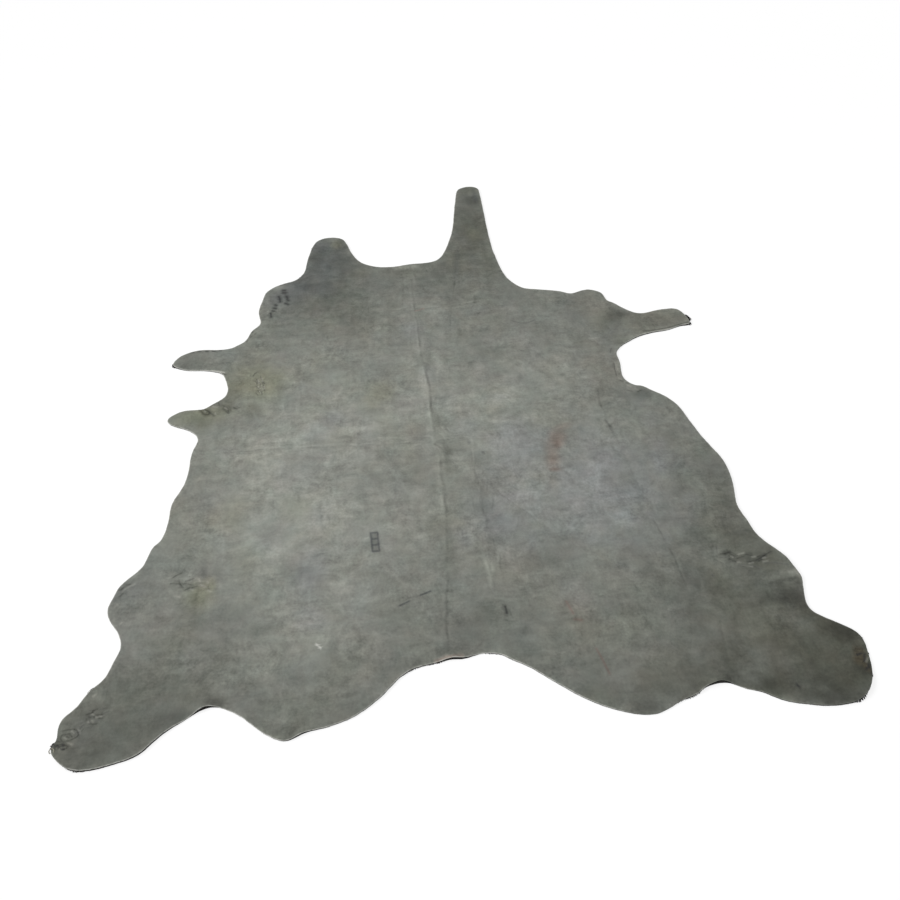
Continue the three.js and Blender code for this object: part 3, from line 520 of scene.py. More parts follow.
# Where the rim stands clear of the floor, or lies closer to it than it would: the middle, how
# wide the stretch is and how high it rises.
LIFTS = table("x y wide rise", {
    "left hind notch": (-712, -1036, 32, 7.5),
    "left of the left hind notch": (-750, -1056, 34, -7.0),
    "right of the left hind notch": (-662, -1044, 32, -8.0),
    "right hind notch": (654, -1112, 36, 9.5),
    "right of the right hind notch": (708, -1122, 36, -11.0),
    "left of the right hind notch": (590, -1128, 28, -0.5),
    "tail": (-36, -968, 26, 3.6),
    "left of the tail": (-105, -976, 38, -6.0),
    "right of the tail": (36, -962, 44, -7.0),
    "left rump": (-458, -1137, 24, 4.0),
    "right hind tip": (1042, -1180, 50, 6.0),
    "left hind tip": (-1060, -1148, 60, 4.0),
    "left fore shank": (-840, 212, 55, -3.0),
    "left fore armpit": (-770, 200, 45, -2.0),
    "right fore shank": (890, 250, 70, -2.5),
})

# The cut edge's section, from the flesh side over the edge and under the skin. cut is how much
# of the pale cut skin shows.
RIM_SECTION = list(table("inset drop cut", {
    "flesh side": (4.2, 0.0, 0.0),
    "brink": (2.2, 0.0, 0.15),
    "upper corner": (0.9, 0.12, 1.0),
    "upper edge": (0.3, 0.5, 1.0),
    "edge": (0.0, 1.2, 1.0),
    "lower edge": (0.3, 2.1, 1.0),
    "underside": (1.2, 2.4, 0.5),
}).values())

# Where the cut edge is soiled: the middle, and how wide the dull stretch is.
DULL_RIMS = table("x y wide", {
    "right hind shank": (900, -1190, 220),
    "right hind tip": (1080, -1060, 120),
    "right hind notch": (670, -1112, 60),
    "left hind tip": (-1080, -1100, 60),
    "right buttock": (470, -1175, 120),
    "right armpit": (655, 80, 90),
})

# Where hair stands past the rim: the middle, how wide the tuft is, and how far it stands out.
TUFTS = table("x y wide proud", {
    "right fore tip": (962, 302, 20, 15),
    "right fore corner": (966, 266, 9, 8),
    "left fore tip": (-906, 255, 22, 6),
    "left hind tip": (-1086, -1098, 14, 6),
    "right hind tip": (1092, -1066, 8, 7),
    "right hind heel": (1046, -1176, 48, 4),
    "right stifle": (984, -882, 24, 2),
    "right hind hock": (1012, -1196, 22, 4),
    "right hind notch": (566, -1127, 42, 3.4),
    "left of the tail": (-88, -975, 42, 2.6),
    "left buttock": (-160, -990, 36, 2.2),
    "right of the tail": (62, -961, 18, 4),
    "left hind heel": (-1018, -1168, 44, 2.4),
    "right hind corner": (1078, -1130, 8, 8),
})

# ---------------------------------------------------------------- sizes, in millimetres

EDGE_STEP = 2  # between points of the solid's rim and of the rim hair
EDGE_EASING = 24  # times that the solid's corners are eased
RIM_STEP = 5  # between points of the cut edge
RIM_ZONE = 24  # how far in from the edge the skin is paler and more marked
CREASE_STEP = 6
CREASE_ENDS = 8  # a crease fades in and out over one part in that many of its length
CREASE_FADE = {"usual": 0.62, "least": 0.08, "most": 1.35}  # how strong a crease is
SHORT_MARK_POINTS = 9
SHORT_MARK = {"long": (0.5, 1.4), "fade": (0.4, 1.0), "bow": 0.10}  # of its usual length and strength
STROKE_STEP = 2.5
UNDERSIDE_CELL = 20
CLEARANCE = 1.2  # least gap between the skin and the floor
FACET_PASSES = 70  # times that the sheet is eased, so that no facet of the solid shows
FACET_EASING = 0.6  # how much of each point's height comes from its neighbours each time
FOLD_ROWS = [-0.9, -0.35, 0.0, 0.35, 0.9]  # rows of points beside a fold, as shares of its reach
STROKE_ROWS = [-5.0, -2.5, 0.0, 2.5, 5.0]  # rows of points beside a stroke of a mark
SPACING = {"fold": 1.5, "stroke": 2.2, "both": 1.6}  # squares that keep one point of the rows each
LATTICE_STRAY = 0.1  # how unevenly a lattice's points stand, as a share of its cell
LATTICE_GAP = 0.55  # least distance from a row of points to the lattice, as a share of its cell
MARGIN = {"rows": 6, "spread": 8, "underside": 12, "coat": 9}  # least distance from the edge
RIDGE = (-0.75, 0.6)  # across a fold, as shares of its reach: the middle and how wide it is
TROUGH = (0.15, 0.45)
SCORE_REACH = 3.0
SCORE_RIDGE = 0.6  # height of a score's ridge, as a share of its depth
INK_MARGIN = 20  # a stroke inks nothing farther off than that
INK_EDGE = 1.1  # where a stroke's ink ends, as a share of its width
OVAL_EDGE = {"outside": 1.25, "ragged": 0.3, "soft": 1.1}  # as shares of a patch's size
SOIL = 0.9  # the most that soil hides of the cut edge

SEEDS = {"leather": 7, "coat": 11, "rim": 13}

# Layers of noise: the size of each one's blots, how much of it there is, and its seed.
WAVER = [(45, 1.0, 3.1), (12, 0.7, 8.7)]  # the knife's wander
STRAY = [(60, 4.5, 21.0), (20, 2.0, 21.0)]  # a crease's wander
BREAKS = [(70, 0.9, 2.0), (22, 0.7, 9.0)]  # how a crease comes and goes
COCKLE = [(210, 0.55, 210), (75, 0.28, 75), (28, 0.14, 28)]  # the skin's unevenness
PATCH_EDGE = [(90, 1.0, 11.0), (35, 0.5, 12.0)]
TUFTING = [(40, 1.0, 50.0), (11, 0.7, 51.0)]  # where rim hair stands out
BAND_EDGE = [(9, 0.35, 60.0)]

# A lock of the coat and one of the rim: lengths (the coat's as a share of the usual length),
# widths as a share of the usual width, how thick, how far the root is below the skin, how far
# the tip falls (the rim's as a share of the way to the floor), and how brown it can be.
COAT, RIM = table("long wide thick sunk fall brown", {
    "coat": ((0.75, 1.15), (0.7, 1.2), 1.1, 0.5, (1.6, 3.2), 0.5),
    "rim": ((6, 10), (0.8, 1.5), 1.3, 0.7, (0.5, 0.93), 0.7),
}).values()
# The rims that face away from the tail: the lean from which they count, how soon they do, how
# much longer their locks are, and how far their tufts stand out. Other rims' locks are inset.
FAR_RIM = {"from": 0.1, "onset": 3, "longer": (3, 8), "tufts": 9, "back": 1.5, "proud": (-1.0, 4.5)}
NEAR_RIM_INSET = 0.6
TUFT_UNEVEN = 0.5  # how much the noise of the far rims shows in the tufts
SHORTEST_LOCK = 7
LOWEST_TIP = 0.5  # the coat's tips end no lower
HAIR_FLOOR = 0.1  # no hair is lower
SECOND_ROW = 3.5  # how far the rim hair's second row stands behind the first
COAT_CELL = 9.8  # between the roots of the coat's locks
COAT_PARTING = -300  # where the coat is parted into a fore and a hind piece, to keep each light

# Along a lock, as shares of its length: how thick it is, and how far it has bowed.
LOCK_RINGS = list(table("along thick bow", {
    "root": (0.0, 0.55, 0.0),
    "belly": (0.45, 1.0, 0.10),
    "neck": (0.8, 0.6, 0.04),
}).values())

# The dark band's section, part undercoat and part painted shade under the rim: how far inside the rim, and
# what share of the way down.
BAND_SECTION = [(1.1, 0.0), (0.9, 0.5), (1.2, 1.0), (16.0, 1.0), (16.0, 0.0)]
BAND_GAP = 0.3  # how far the dark band overlaps the skin, and how far it stays off the floor

# How the hair lies, in degrees: how far it sweeps outwards at the flanks, how far the lie
# wanders, and how unevenly the locks follow it.
GROWTH = {"sweep": 50, "swirl": 35, "stray": 9}
FLANK = 1100  # from the backbone to where the hair sweeps outwards most
SWIRL = [(260, 1.0, 40.0)]
LOCK_SAG = 0.8  # the power of the share along a lock that its fall follows
COAT_INSET = 2  # the coat's tips end that far inside the rim
TRIMMING = 1.6  # how much shorter a lock is for each millimetre that its tip was past that
RIM_TURN = 0.9  # the most that a rim lock's growth counts as off the way out, in radians
RIM_FOLLOWS = 0.7  # the share of it that the lock follows
RIM_UNEVEN = 0.35  # how unevenly rim locks stand out

# The curl of dried membrane at the tip of the left hind shank. bend and turn are in degrees.
MEMBRANE = {"x": -1089, "y": -1108, "long": 34, "wide": 3.0, "thick": 1.6, "bend": 300, "turn": 200}
MEMBRANE_CUTS = 12
MEMBRANE_SUNK = 0.5  # how deep it lies in the skin
MEMBRANE_WAVE = [(14, 1.2, 5.0)]

# ---------------------------------------------------------------- looks

EVEN = (1.0, 1.0, 1.0)
DRAWN_ACROSS, DRAWN_ALONG, DRAWN_DOWN = (1.0, 4.0, 1.0), (4.0, 1.0, 1.0), (1.0, 1.0, 0.2)

# Noises of the suede: blots to the metre, detail, how they are drawn out, how far they swirl, in
# metres, and how much they count.
SUEDE_GRAINS = table("scale detail drawn swirl weight", {
    "blotches": (42.0, 3.0, EVEN, 0.07, 0.70),
    "smears across": (13.0, 5.0, DRAWN_ACROSS, 0.02, 0.44),
    "smears along": (15.0, 5.0, DRAWN_ALONG, 0.02, 0.22),
    "specks": (130.0, 3.0, EVEN, 0.0, 0.48),
    "calm and lively": (7.0, 2.0, EVEN, 0.0, 2.2),
    "broad clouds": (4.0, 2.0, EVEN, 0.07, 0.18),
    "small clouds": (12.0, 3.0, EVEN, 0.07, 0.50),
    "cool and warm": (7.0, 5.0, EVEN, 0.07, 2.2),
    "red and green": (16.0, 5.0, EVEN, 0.07, 1.8),
    "red and green, broad": (4.5, 2.0, EVEN, 0.0, 1.2),
    "flecks at the rim": (75.0, 4.0, DRAWN_DOWN, 0.0, 1.4),
    "frays at the cut": (90.0, 3.0, EVEN, 0.0, 2.6),
    "nap": (650.0, 2.0, EVEN, 0.0, 1.0),
    "tooth": (160.0, 3.0, EVEN, 0.0, 0.6),
    "dull and bright": (40.0, 2.0, EVEN, 0.0, 0.10),
})
SWIRL_SCALE = 8.0  # blots to the metre of the noise that swirls the others
RED_SHIFT = (3.1, 1.7, 0.4)  # sets the red blots apart from the cool ones
# What a cast of colour multiplies the suede's colour by, at each of its ends.
COOL, WARM = (1.0, 1.0, 1.035), (1.0, 1.0, 0.965)
RED, GREEN = (1.04, 1.0, 1.0), (0.96, 1.0, 1.0)
# How bright the suede is, how much its nap shades it, how much paler its rim is, and how much
# of the cut skin is pale.
SUEDE = {"bright": 0.988, "nap": 0.10, "rim": 0.09, "cut": 0.75}
HAIR_ROOTS = (0.02, 0.017, 0.015)  # the colour of the skin under the hair
HORN, PALE_HORN = (0.17, 0.16, 0.12), (0.33, 0.32, 0.26)
STRANDS = (1500.0, 90.0, 900.0)  # blots to the metre along each axis, which make long thin streaks

# How rough and glossy each kind of surface is, how high its bumps are, in metres, and how
# strongly they show.
SURFACES = table("roughness gloss height strength", {
    "suede": (0.93, 0.25, 0.0006, 0.5),
    "hair": (0.7, 0.07, 0.0008, 0.6),
    "membrane": (0.6, 0.4, 0.0004, 0.5),
})

# ---------------------------------------------------------------- stage and light, in metres

WHITE = (1.0, 1.0, 1.0, 1.0)
FLOOR_SIZE = 40.0
FLOOR_SHADOW = 0.22  # share of the floor's brightness that the light gives
FLOOR_GLOW = 1.06
CAMERA_PLACE = (-0.165, -2.0185)
# share is the key's light on the floor, where an all white sky gives 1. lean and spread are in
# degrees, and drift is how far the key shines towards the head.
KEY = {"share": 0.44, "lean": 58, "spread": 24, "height": 3.0, "drift": 0.12}
SOFTBOX = {"place": (-0.70, -0.2, 1.8), "aim": (-0.38, -0.22, 0.0), "power": 12.0, "size": 1.2}

# ---------------------------------------------------------------- settings


class LeatherSettings(bpy.types.PropertyGroup):
    """Sizes and colours of the tanned skin."""

    thickness: bpy.props.FloatProperty(
        name="Thickness", description="Thickness of the tanned skin", default=0.0024,
        min=0.001, max=0.005, unit="LENGTH")
    cell: bpy.props.FloatProperty(
        name="Mesh cell", description="Distance between neighbouring points of the flesh side",
        default=0.0078, min=0.004, max=0.05, unit="LENGTH")
    waver: bpy.props.FloatProperty(
        name="Knife waver", description="How far the trimming knife strayed from a smooth line",
        default=0.0009, min=0.0, max=0.004, unit="LENGTH")
    suede: bpy.props.FloatVectorProperty(
        name="Suede", description="Colour of the flesh side between its patches", subtype="COLOR",
        default=(0.183, 0.190, 0.167), min=0.0, max=1.0)
    cut: bpy.props.FloatVectorProperty(
        name="Cut edge", description="Colour of the skin where it is cut", subtype="COLOR",
        default=(0.44, 0.44, 0.41), min=0.0, max=1.0)
    # Painted highlight on the ridges of folds and scores, and painted shade in their troughs: how strong
    # both are.
    crease_shading: bpy.props.FloatProperty(
        name="Crease shading", description="How much paler a rubbed ridge is than the skin round it",
        default=0.16, min=0.0, max=1.0, subtype="FACTOR")


class HairSettings(bpy.types.PropertyGroup):
    """Sizes and colours of the hair coat."""

    length: bpy.props.FloatProperty(
        name="Hair length", description="Length of a lock of hair", default=0.026,
        min=0.01, max=0.06, unit="LENGTH")
    width: bpy.props.FloatProperty(
        name="Lock width", description="Width of a lock at its root", default=0.010,
        min=0.001, max=0.02, unit="LENGTH")
    rim_width: bpy.props.FloatProperty(
        name="Rim lock width", description="Width of a lock that shows at the rim", default=0.003,
        min=0.001, max=0.02, unit="LENGTH")
    colour: bpy.props.FloatVectorProperty(
        name="Hair", description="Colour of the hair", subtype="COLOR",
        default=(0.0060, 0.0052, 0.0046), min=0.0, max=1.0)
    sunned: bpy.props.FloatVectorProperty(
        name="Sunned hair", description="Colour of the brownest locks", subtype="COLOR",
        default=(0.040, 0.026, 0.018), min=0.0, max=1.0)


class StageSettings(bpy.types.PropertyGroup):
    """Camera and light."""

    height: bpy.props.FloatProperty(
        name="Camera height", description="Height of the camera above the floor",
        default=2.218, min=0.5, max=10.0, unit="LENGTH")
    tilt: bpy.props.FloatProperty(
        name="Camera tilt", description="How far the camera looks down from the horizon",
        default=math.radians(51.0), min=0.0, max=math.radians(90.0), unit="ROTATION")
    heading: bpy.props.FloatProperty(
        name="Camera heading", description="How far the camera is turned to the right",
        default=math.radians(6.0), min=-math.pi, max=math.pi, unit="ROTATION")
    lens: bpy.props.FloatProperty(
        name="Lens", description="Focal length of the camera", default=35.0,
        min=10.0, max=200.0, unit="CAMERA")
    ambient: bpy.props.FloatProperty(
        name="Ambient light", description="Share of the light that comes from all round",
        default=0.38, min=0.0, max=1.0, subtype="FACTOR")


# ---------------------------------------------------------------- lines and places


def merged_copy(node):
    """A CAD node's mesh with its loose triangles merged, as a bmesh."""
    mesh = bmesh.new()
    mesh.from_mesh(frame["nodes"][node].data)
    bmesh.ops.remove_doubles(mesh, verts=mesh.verts, dist=0.01 * MM)
    mesh.normal_update()
    return mesh


def signed_area(points):
    """The area inside a closed line, negative where the line runs clockwise."""
    after = np.roll(points, -1, axis=0)
    return 0.5 * float(np.sum(points[:, 0] * after[:, 1] - after[:, 0] * points[:, 1]))


def rim_line(mesh):
    """The plan of the solid's upper rim, anticlockwise, as an array of points."""
    beside = {}
    for edge in mesh.edges:
        tilts = sorted(face.normal.z for face in edge.link_faces)
        if len(tilts) == 2 and tilts[1] > 0.5 and abs(tilts[0]) < 0.3:
            first, second = edge.verts
            beside.setdefault(first, []).append(second)
            beside.setdefault(second, []).append(first)
    start = here = next(iter(beside))
    before, line = None, []
    while not line or here is not start:
        line.append(tuple(here.co.xy))
        onward = next(vert for vert in beside[here] if vert is not before)
        before, here = here, onward
    points = np.array(line)
    return points if signed_area(points) > 0 else points[::-1]


def resampled(points, step, closed=True):
    """A line's points, evenly spaced at about that step."""
    line = np.vstack([points, points[:1]]) if closed else np.asarray(points, float)
    run = np.concatenate([[0.0], np.cumsum(np.linalg.norm(np.diff(line, axis=0), axis=1))])
    count = max(3, int(round(run[-1] / step)))
    at = np.linspace(0.0, run[-1], count, endpoint=not closed)
    return np.stack([np.interp(at, run, line[:, k]) for k in (0, 1)], axis=1)


def rounded(points, passes):
    """A closed line with its corners eased."""
    for _ in range(passes):
        points = (np.roll(points, 1, axis=0) + 2 * points + np.roll(points, -1, axis=0)) / 4
    return points


def rightward(along):
    """The unit direction to the right of each direction along a line."""
    along = along / np.linalg.norm(along, axis=1)[:, None]
    return np.stack([along[:, 1], -along[:, 0]], axis=1)


def aside(points):
    """The direction to the right of an open line at each of its points."""
    return rightward(np.gradient(points, axis=0))


def outward(points):
    """The outward direction at each point of a closed anticlockwise line."""
    return rightward(np.roll(points, -1, axis=0) - np.roll(points, 1, axis=0))


def noise_at(points, size, seed):
    """Smooth noise from -1 to 1 at plan points, with blots of that size in millimetres."""
    scale = 1 / (size * MM)
    return np.array([noise.noise(Vector((x * scale, y * scale, seed))) for x, y in points])


def layered(points, layers):
    """Layers of noise added up at plan points."""
    return sum(amount * noise_at(points, size, seed) for size, amount, seed in layers)


def plan_tree(points):
    """A tree that finds the nearest of some plan points."""
    tree = kdtree.KDTree(len(points))
    for number, (x, y) in enumerate(points):
        tree.insert((x, y, 0.0), number)
    tree.balance()
    return tree


def nearest(tree, points):
    """The number and the distance of the nearest point to each plan point."""
    found = [tree.find((x, y, 0.0)) for x, y in points]
    return np.array([item[1] for item in found]), np.array([item[2] for item in found])


def inside_by(line, points):
    """How far inside a closed line each plan point lies."""
    near, away = nearest(plan_tree(line), points)
    side = np.sum((points - line[near]) * outward(line)[near], axis=1)
    return np.where(side < 0, away, -away)


def away_from(points, place):
    """How far plan points are from a place, as a share of how wide it is."""
    return np.linalg.norm(points / MM - (place["x"], place["y"]), axis=1) / place["wide"]


def near_line(points, line, margin):
    """The numbers of the plan points that lie near a line's box."""
    near = (points > line.min(0) - margin) & (points < line.max(0) + margin)
    return np.flatnonzero(near.all(axis=1))


def bell(x, middle=0.0, wide=1.0):
    """A smooth bump that is 1 at its middle."""
    return np.exp(-((x - middle) / wide) ** 2)


def lattice(line, cell, margin, rng):
    """Plan points in staggered rows inside a closed line, a little uneven."""
    low, high = line.min(0), line.max(0)
    x, y = np.meshgrid(
        np.arange(low[0], high[0], cell), np.arange(low[1], high[1], cell * math.sqrt(3) / 2))
    x[1::2] += cell / 2
    points = np.stack([x.ravel(), y.ravel()], axis=1)
    points += rng.normal(0.0, cell * LATTICE_STRAY, points.shape)
    return points[inside_by(line, points) > margin * MM]


def thinned(points, gap):
    """Only one of the points that share a small square."""
    _, first = np.unique(np.round(points / gap).astype(np.int64), axis=0, return_index=True)
    return points[np.sort(first)]


def rows_beside(lines, gap):
    """Plan points in rows beside lines, each line with its rows' distances."""
    rows = [line + aside(line) * distance for line, distances in lines for distance in distances]
    return thinned(np.vstack(rows), gap * MM)


def surface_heights(tree, points, from_above=True):
    """The height of a surface at plan points, or that of its nearest point past its edge."""
    side = 1.0 if from_above else -1.0
    heights = np.empty(len(points))
    for number, (x, y) in enumerate(points):
        hit = tree.ray_cast(Vector((x, y, side)), Vector((0, 0, -side)))[0]
        if hit is None:
            hit = tree.find_nearest(Vector((x, y, 6 * MM)))[0]
        heights[number] = hit.z
    return heights


def triangulated(ring, inner):
    """The triangles between a closed ring of plan points and the points inside it."""
    points = np.vstack([ring, inner])
    edges = [(i, (i + 1) % len(ring)) for i in range(len(ring))]
    made = delaunay_2d_cdt([tuple(point) for point in points], edges, [], 0, 1e-7, True)
    first_use = {origins[0]: number for number, origins in enumerate(made[3]) if origins}
    if len(made[0]) != len(points) or len(first_use) != len(points):
        raise RuntimeError("the cut edge crosses itself")
    order = np.empty(len(points), int)
    for old, new in first_use.items():
        order[new] = old
    faces = order[np.array(made[2])]
    # A triangle outside the ring has all its corners on it, and they run clockwise along it.
    first, second, third = (points[corner] for corner in np.sort(faces, axis=1).T)
    one, other = second - first, third - first
    runs_round = one[:, 0] * other[:, 1] - one[:, 1] * other[:, 0] > 0
    return points, faces[runs_round | (faces.max(axis=1) >= len(ring))]


def ring_strips(starts, count):
    """Triangles between rings of that many points, facing out of anticlockwise rings.

    starts holds the number of each ring's first point.
    """
    here = np.arange(count)
    onward = np.roll(here, -1)
    made = []
    for upper, lower in zip(starts, starts[1:]):
        made.append(np.stack([here + upper, here + lower, onward + lower], axis=1))
        made.append(np.stack([here + upper, onward + lower, onward + upper], axis=1))
    return np.vstack(made)


# ---------------------------------------------------------------- folds, scores and paint


def crease_lines():
    """Each crease as a fine, slightly wandering line with its profile."""
    made = []
    for crease in CREASES.values():
        line = resampled(np.array(crease["line"], float) * MM, CREASE_STEP * MM, closed=False)
        stray = layered(line, STRAY) * MM
        share = np.linspace(0.0, 1.0, len(line))
        ends = np.clip(np.minimum(share, 1 - share) * CREASE_ENDS, 0, 1)
        broken = CREASE_FADE["usual"] + layered(line, BREAKS)
        fade = ends * np.clip(broken, CREASE_FADE["least"], CREASE_FADE["most"])
        made.append({**crease, "line": line + aside(line) * stray[:, None], "fade": fade})
    return made


def short_marks(rng):
    """Each knife score and small wrinkle as a short curved line with its profile."""
    made = []
    share = np.linspace(-0.5, 0.5, SHORT_MARK_POINTS)
    for place in SHORT_MARKS.values():
        profile = PROFILES[place["profile"]]
        for _ in range(place["count"]):
            middle = np.array([
                place["x"] + rng.uniform(-1, 1) * place["wide"],
                place["y"] + rng.uniform(-1, 1) * place["high"]])
            turn = math.radians(place["slant"] + rng.normal(0, profile["sway"]))
            long = place["long"] * rng.uniform(*SHORT_MARK["long"])
            along = share * long
            bow = rng.normal(0, SHORT_MARK["bow"]) * long * (1 - 4 * share * share)
            line = middle + np.stack([
                along * math.cos(turn) - bow * math.sin(turn),
                along * math.sin(turn) + bow * math.cos(turn)], axis=1)
            fade = np.clip((0.5 - np.abs(share)) * 4, 0, 1) * rng.uniform(*SHORT_MARK["fade"])
            made.append({**profile, "line": line * MM, "fade": fade})
    return made


def stroke_lines():
    """Each stroke of the marks as a fine line with its mark."""
    return [
        (resampled(np.array(stroke, float) * MM, STROKE_STEP * MM, closed=False), mark)
        for mark in MARKS.values() for stroke in mark["strokes"]]


def scores():
    """The strokes that are cut into the skin, with their profile."""
    # A cut gets painted highlight on its lip and painted shade in its trough, as strong as it is deep.
    return [
        {"line": line, "fade": np.ones(len(line)), "rise": mark["depth"] * SCORE_RIDGE,
         "sink": mark["depth"], "reach": SCORE_REACH, "light": mark["depth"], "dark": mark["depth"]}
        for line, mark in stroke_lines() if mark["depth"]]


def offset_from(points, line):
    """How far each plan point is to the right of an open line, and where along it, in steps."""
    best = np.full(len(points), np.inf)
    offset, along = np.zeros(len(points)), np.zeros(len(points))
    for number, (start, span) in enumerate(zip(line, np.diff(line, axis=0))):
        to = points - start
        share = np.clip(to @ span / (span @ span), 0, 1)
        off = to - share[:, None] * span
        away = np.hypot(off[:, 0], off[:, 1])
        closer = away < best
        best[closer] = away[closer]
        side = np.sign(off[:, 0] * span[1] - off[:, 1] * span[0])
        offset[closer] = (away * side)[closer]
        along[closer] = number + share[closer]
    return offset, along


def relief(points, folds):
    """The height that folds give to plan points, with the painted highlight on their ridges and painted
    shade in their troughs.
    """
    height, crease_light_and_shade = np.zeros(len(points)), np.zeros(len(points))
    for fold in folds:
        line, reach = fold["line"], fold["reach"] * MM
        near = near_line(points, line, 3 * reach)
        offset, along = offset_from(points[near], line)
        fade = np.interp(along, np.arange(len(line)), fold["fade"])
        ridge, trough = bell(offset / reach, *RIDGE), bell(offset / reach, *TROUGH)
        height[near] += fade * (fold["rise"] * ridge - fold["sink"] * trough) * MM
        # Painted highlight along the ridge, painted shade along the trough.
        crease_light_and_shade[near] += fade * (fold["light"] * ridge - fold["dark"] * trough)
    return height, crease_light_and_shade


def settled(height, faces):
    """Heights eased over a triangle mesh."""
    pairs = np.vstack([faces[:, [0, 1]], faces[:, [1, 2]], faces[:, [2, 0]]])
    count = len(height)
    degree = np.maximum(np.bincount(pairs.ravel(), minlength=count), 1)
    for _ in range(FACET_PASSES):
        total = sum(
            np.bincount(pairs[:, one], weights=height[pairs[:, other]], minlength=count)
            for one, other in ((0, 1), (1, 0)))
        height = (1 - FACET_EASING) * height + FACET_EASING * total / degree
    return height


def oval_share(points, edge, x, y, wide, high, turn=0):
    """How much of an oval patch each plan point took, as a column."""
    turn = math.radians(turn)
    x, y = (points / MM - (x, y)).T
    u = (x * math.cos(turn) + y * math.sin(turn)) / wide
    v = (y * math.cos(turn) - x * math.sin(turn)) / high
    inside = OVAL_EDGE["outside"] - np.hypot(u, v) - OVAL_EDGE["ragged"] * edge
    share = np.clip(inside / OVAL_EDGE["soft"], 0, 1)
    return (share * share * (3 - 2 * share))[:, None]


def painted(points, suede):
    """The colour of the flesh side at plan points: its patches, its smudges, then its marks."""
    colour = np.tile(np.array(suede, float), (len(points), 1))
    edge = layered(points, PATCH_EDGE)
    for patch in PATCHES.values():
        share = patch["share"] * oval_share(points, edge, *patch["oval"])
        colour += share * (np.array(DYES[patch["dye"]]) - colour)
    for smudge in SMUDGES.values():
        for oval in smudge["ovals"]:
            colour *= 1 + oval_share(points, edge, *oval) * (np.array(smudge["gain"]) - 1)
    for line, mark in stroke_lines():
        ink = INKS[mark["ink"]]
        near = near_line(points, line, INK_MARGIN * MM)
        away = np.abs(offset_from(points[near], line)[0]) / (mark["width"] * MM)
        share = ink["share"] * np.clip(INK_EDGE - away, 0, 1)[:, None]
        colour[near] += share * (np.array(ink["colour"]) - colour[near])
    return colour


# ---------------------------------------------------------------- leather


def new_piece(name, points, faces, material):
    """A smooth mesh object of triangles from arrays."""
    mesh = bpy.data.meshes.new(name)
    mesh.vertices.add(len(points))
    mesh.vertices.foreach_set("co", np.asarray(points, np.float32).ravel())
    mesh.loops.add(faces.size)
    mesh.loops.foreach_set("vertex_index", faces.ravel().astype(np.int32))
    mesh.polygons.add(len(faces))
    mesh.polygons.foreach_set("loop_start", np.arange(len(faces), dtype=np.int32) * 3)
    mesh.polygons.foreach_set("use_smooth", np.ones(len(faces), bool))
    mesh.update(calc_edges=True)
    mesh.materials.append(material)
    piece = bpy.data.objects.new(name, mesh)
    bpy.context.scene.collection.objects.link(piece)
    return piece


def store(piece, name, values):
    """Keeps a number or a colour for each point of a piece, for its material to read."""
    values = np.asarray(values, np.float32)
    if values.ndim == 1:
        piece.data.attributes.new(name, "FLOAT", "POINT").data.foreach_set("value", values)
        return
    opaque = np.hstack([values, np.ones((len(values), 1), np.float32)])
    piece.data.attributes.new(name, "FLOAT_COLOR", "POINT").data.foreach_set("color", opaque.ravel())


def cut_line(settings):
    """The knife's line round the hide: the solid's rim, rounded, with the knife's waver."""
    solid = merged_copy(HIDE)
    line = rounded(resampled(rim_line(solid), EDGE_STEP * MM), EDGE_EASING)
    solid.free()
    line = resampled(line, RIM_STEP * MM)
    return line + outward(line) * (settings.waver * layered(line, WAVER))[:, None]


def flesh_plan(line, ring, folds, cell, rng):
    """The flesh side's points and triangles: close along folds and marks, and even elsewhere."""
    near_folds = rows_beside(
        [(fold["line"], np.array(FOLD_ROWS) * fold["reach"] * MM) for fold in folds], SPACING["fold"])
    near_strokes = rows_beside(
        [(stroke, np.array(STROKE_ROWS) * MM) for stroke, _ in stroke_lines()], SPACING["stroke"])
    close = thinned(np.vstack([near_folds, near_strokes]), SPACING["both"] * MM)
    close = close[inside_by(line, close) > MARGIN["rows"] * MM]
    spread = lattice(line, cell, MARGIN["spread"], rng)
    spread = spread[nearest(plan_tree(close), spread)[1] > LATTICE_GAP * cell]
    return triangulated(ring, np.vstack([close, spread]))


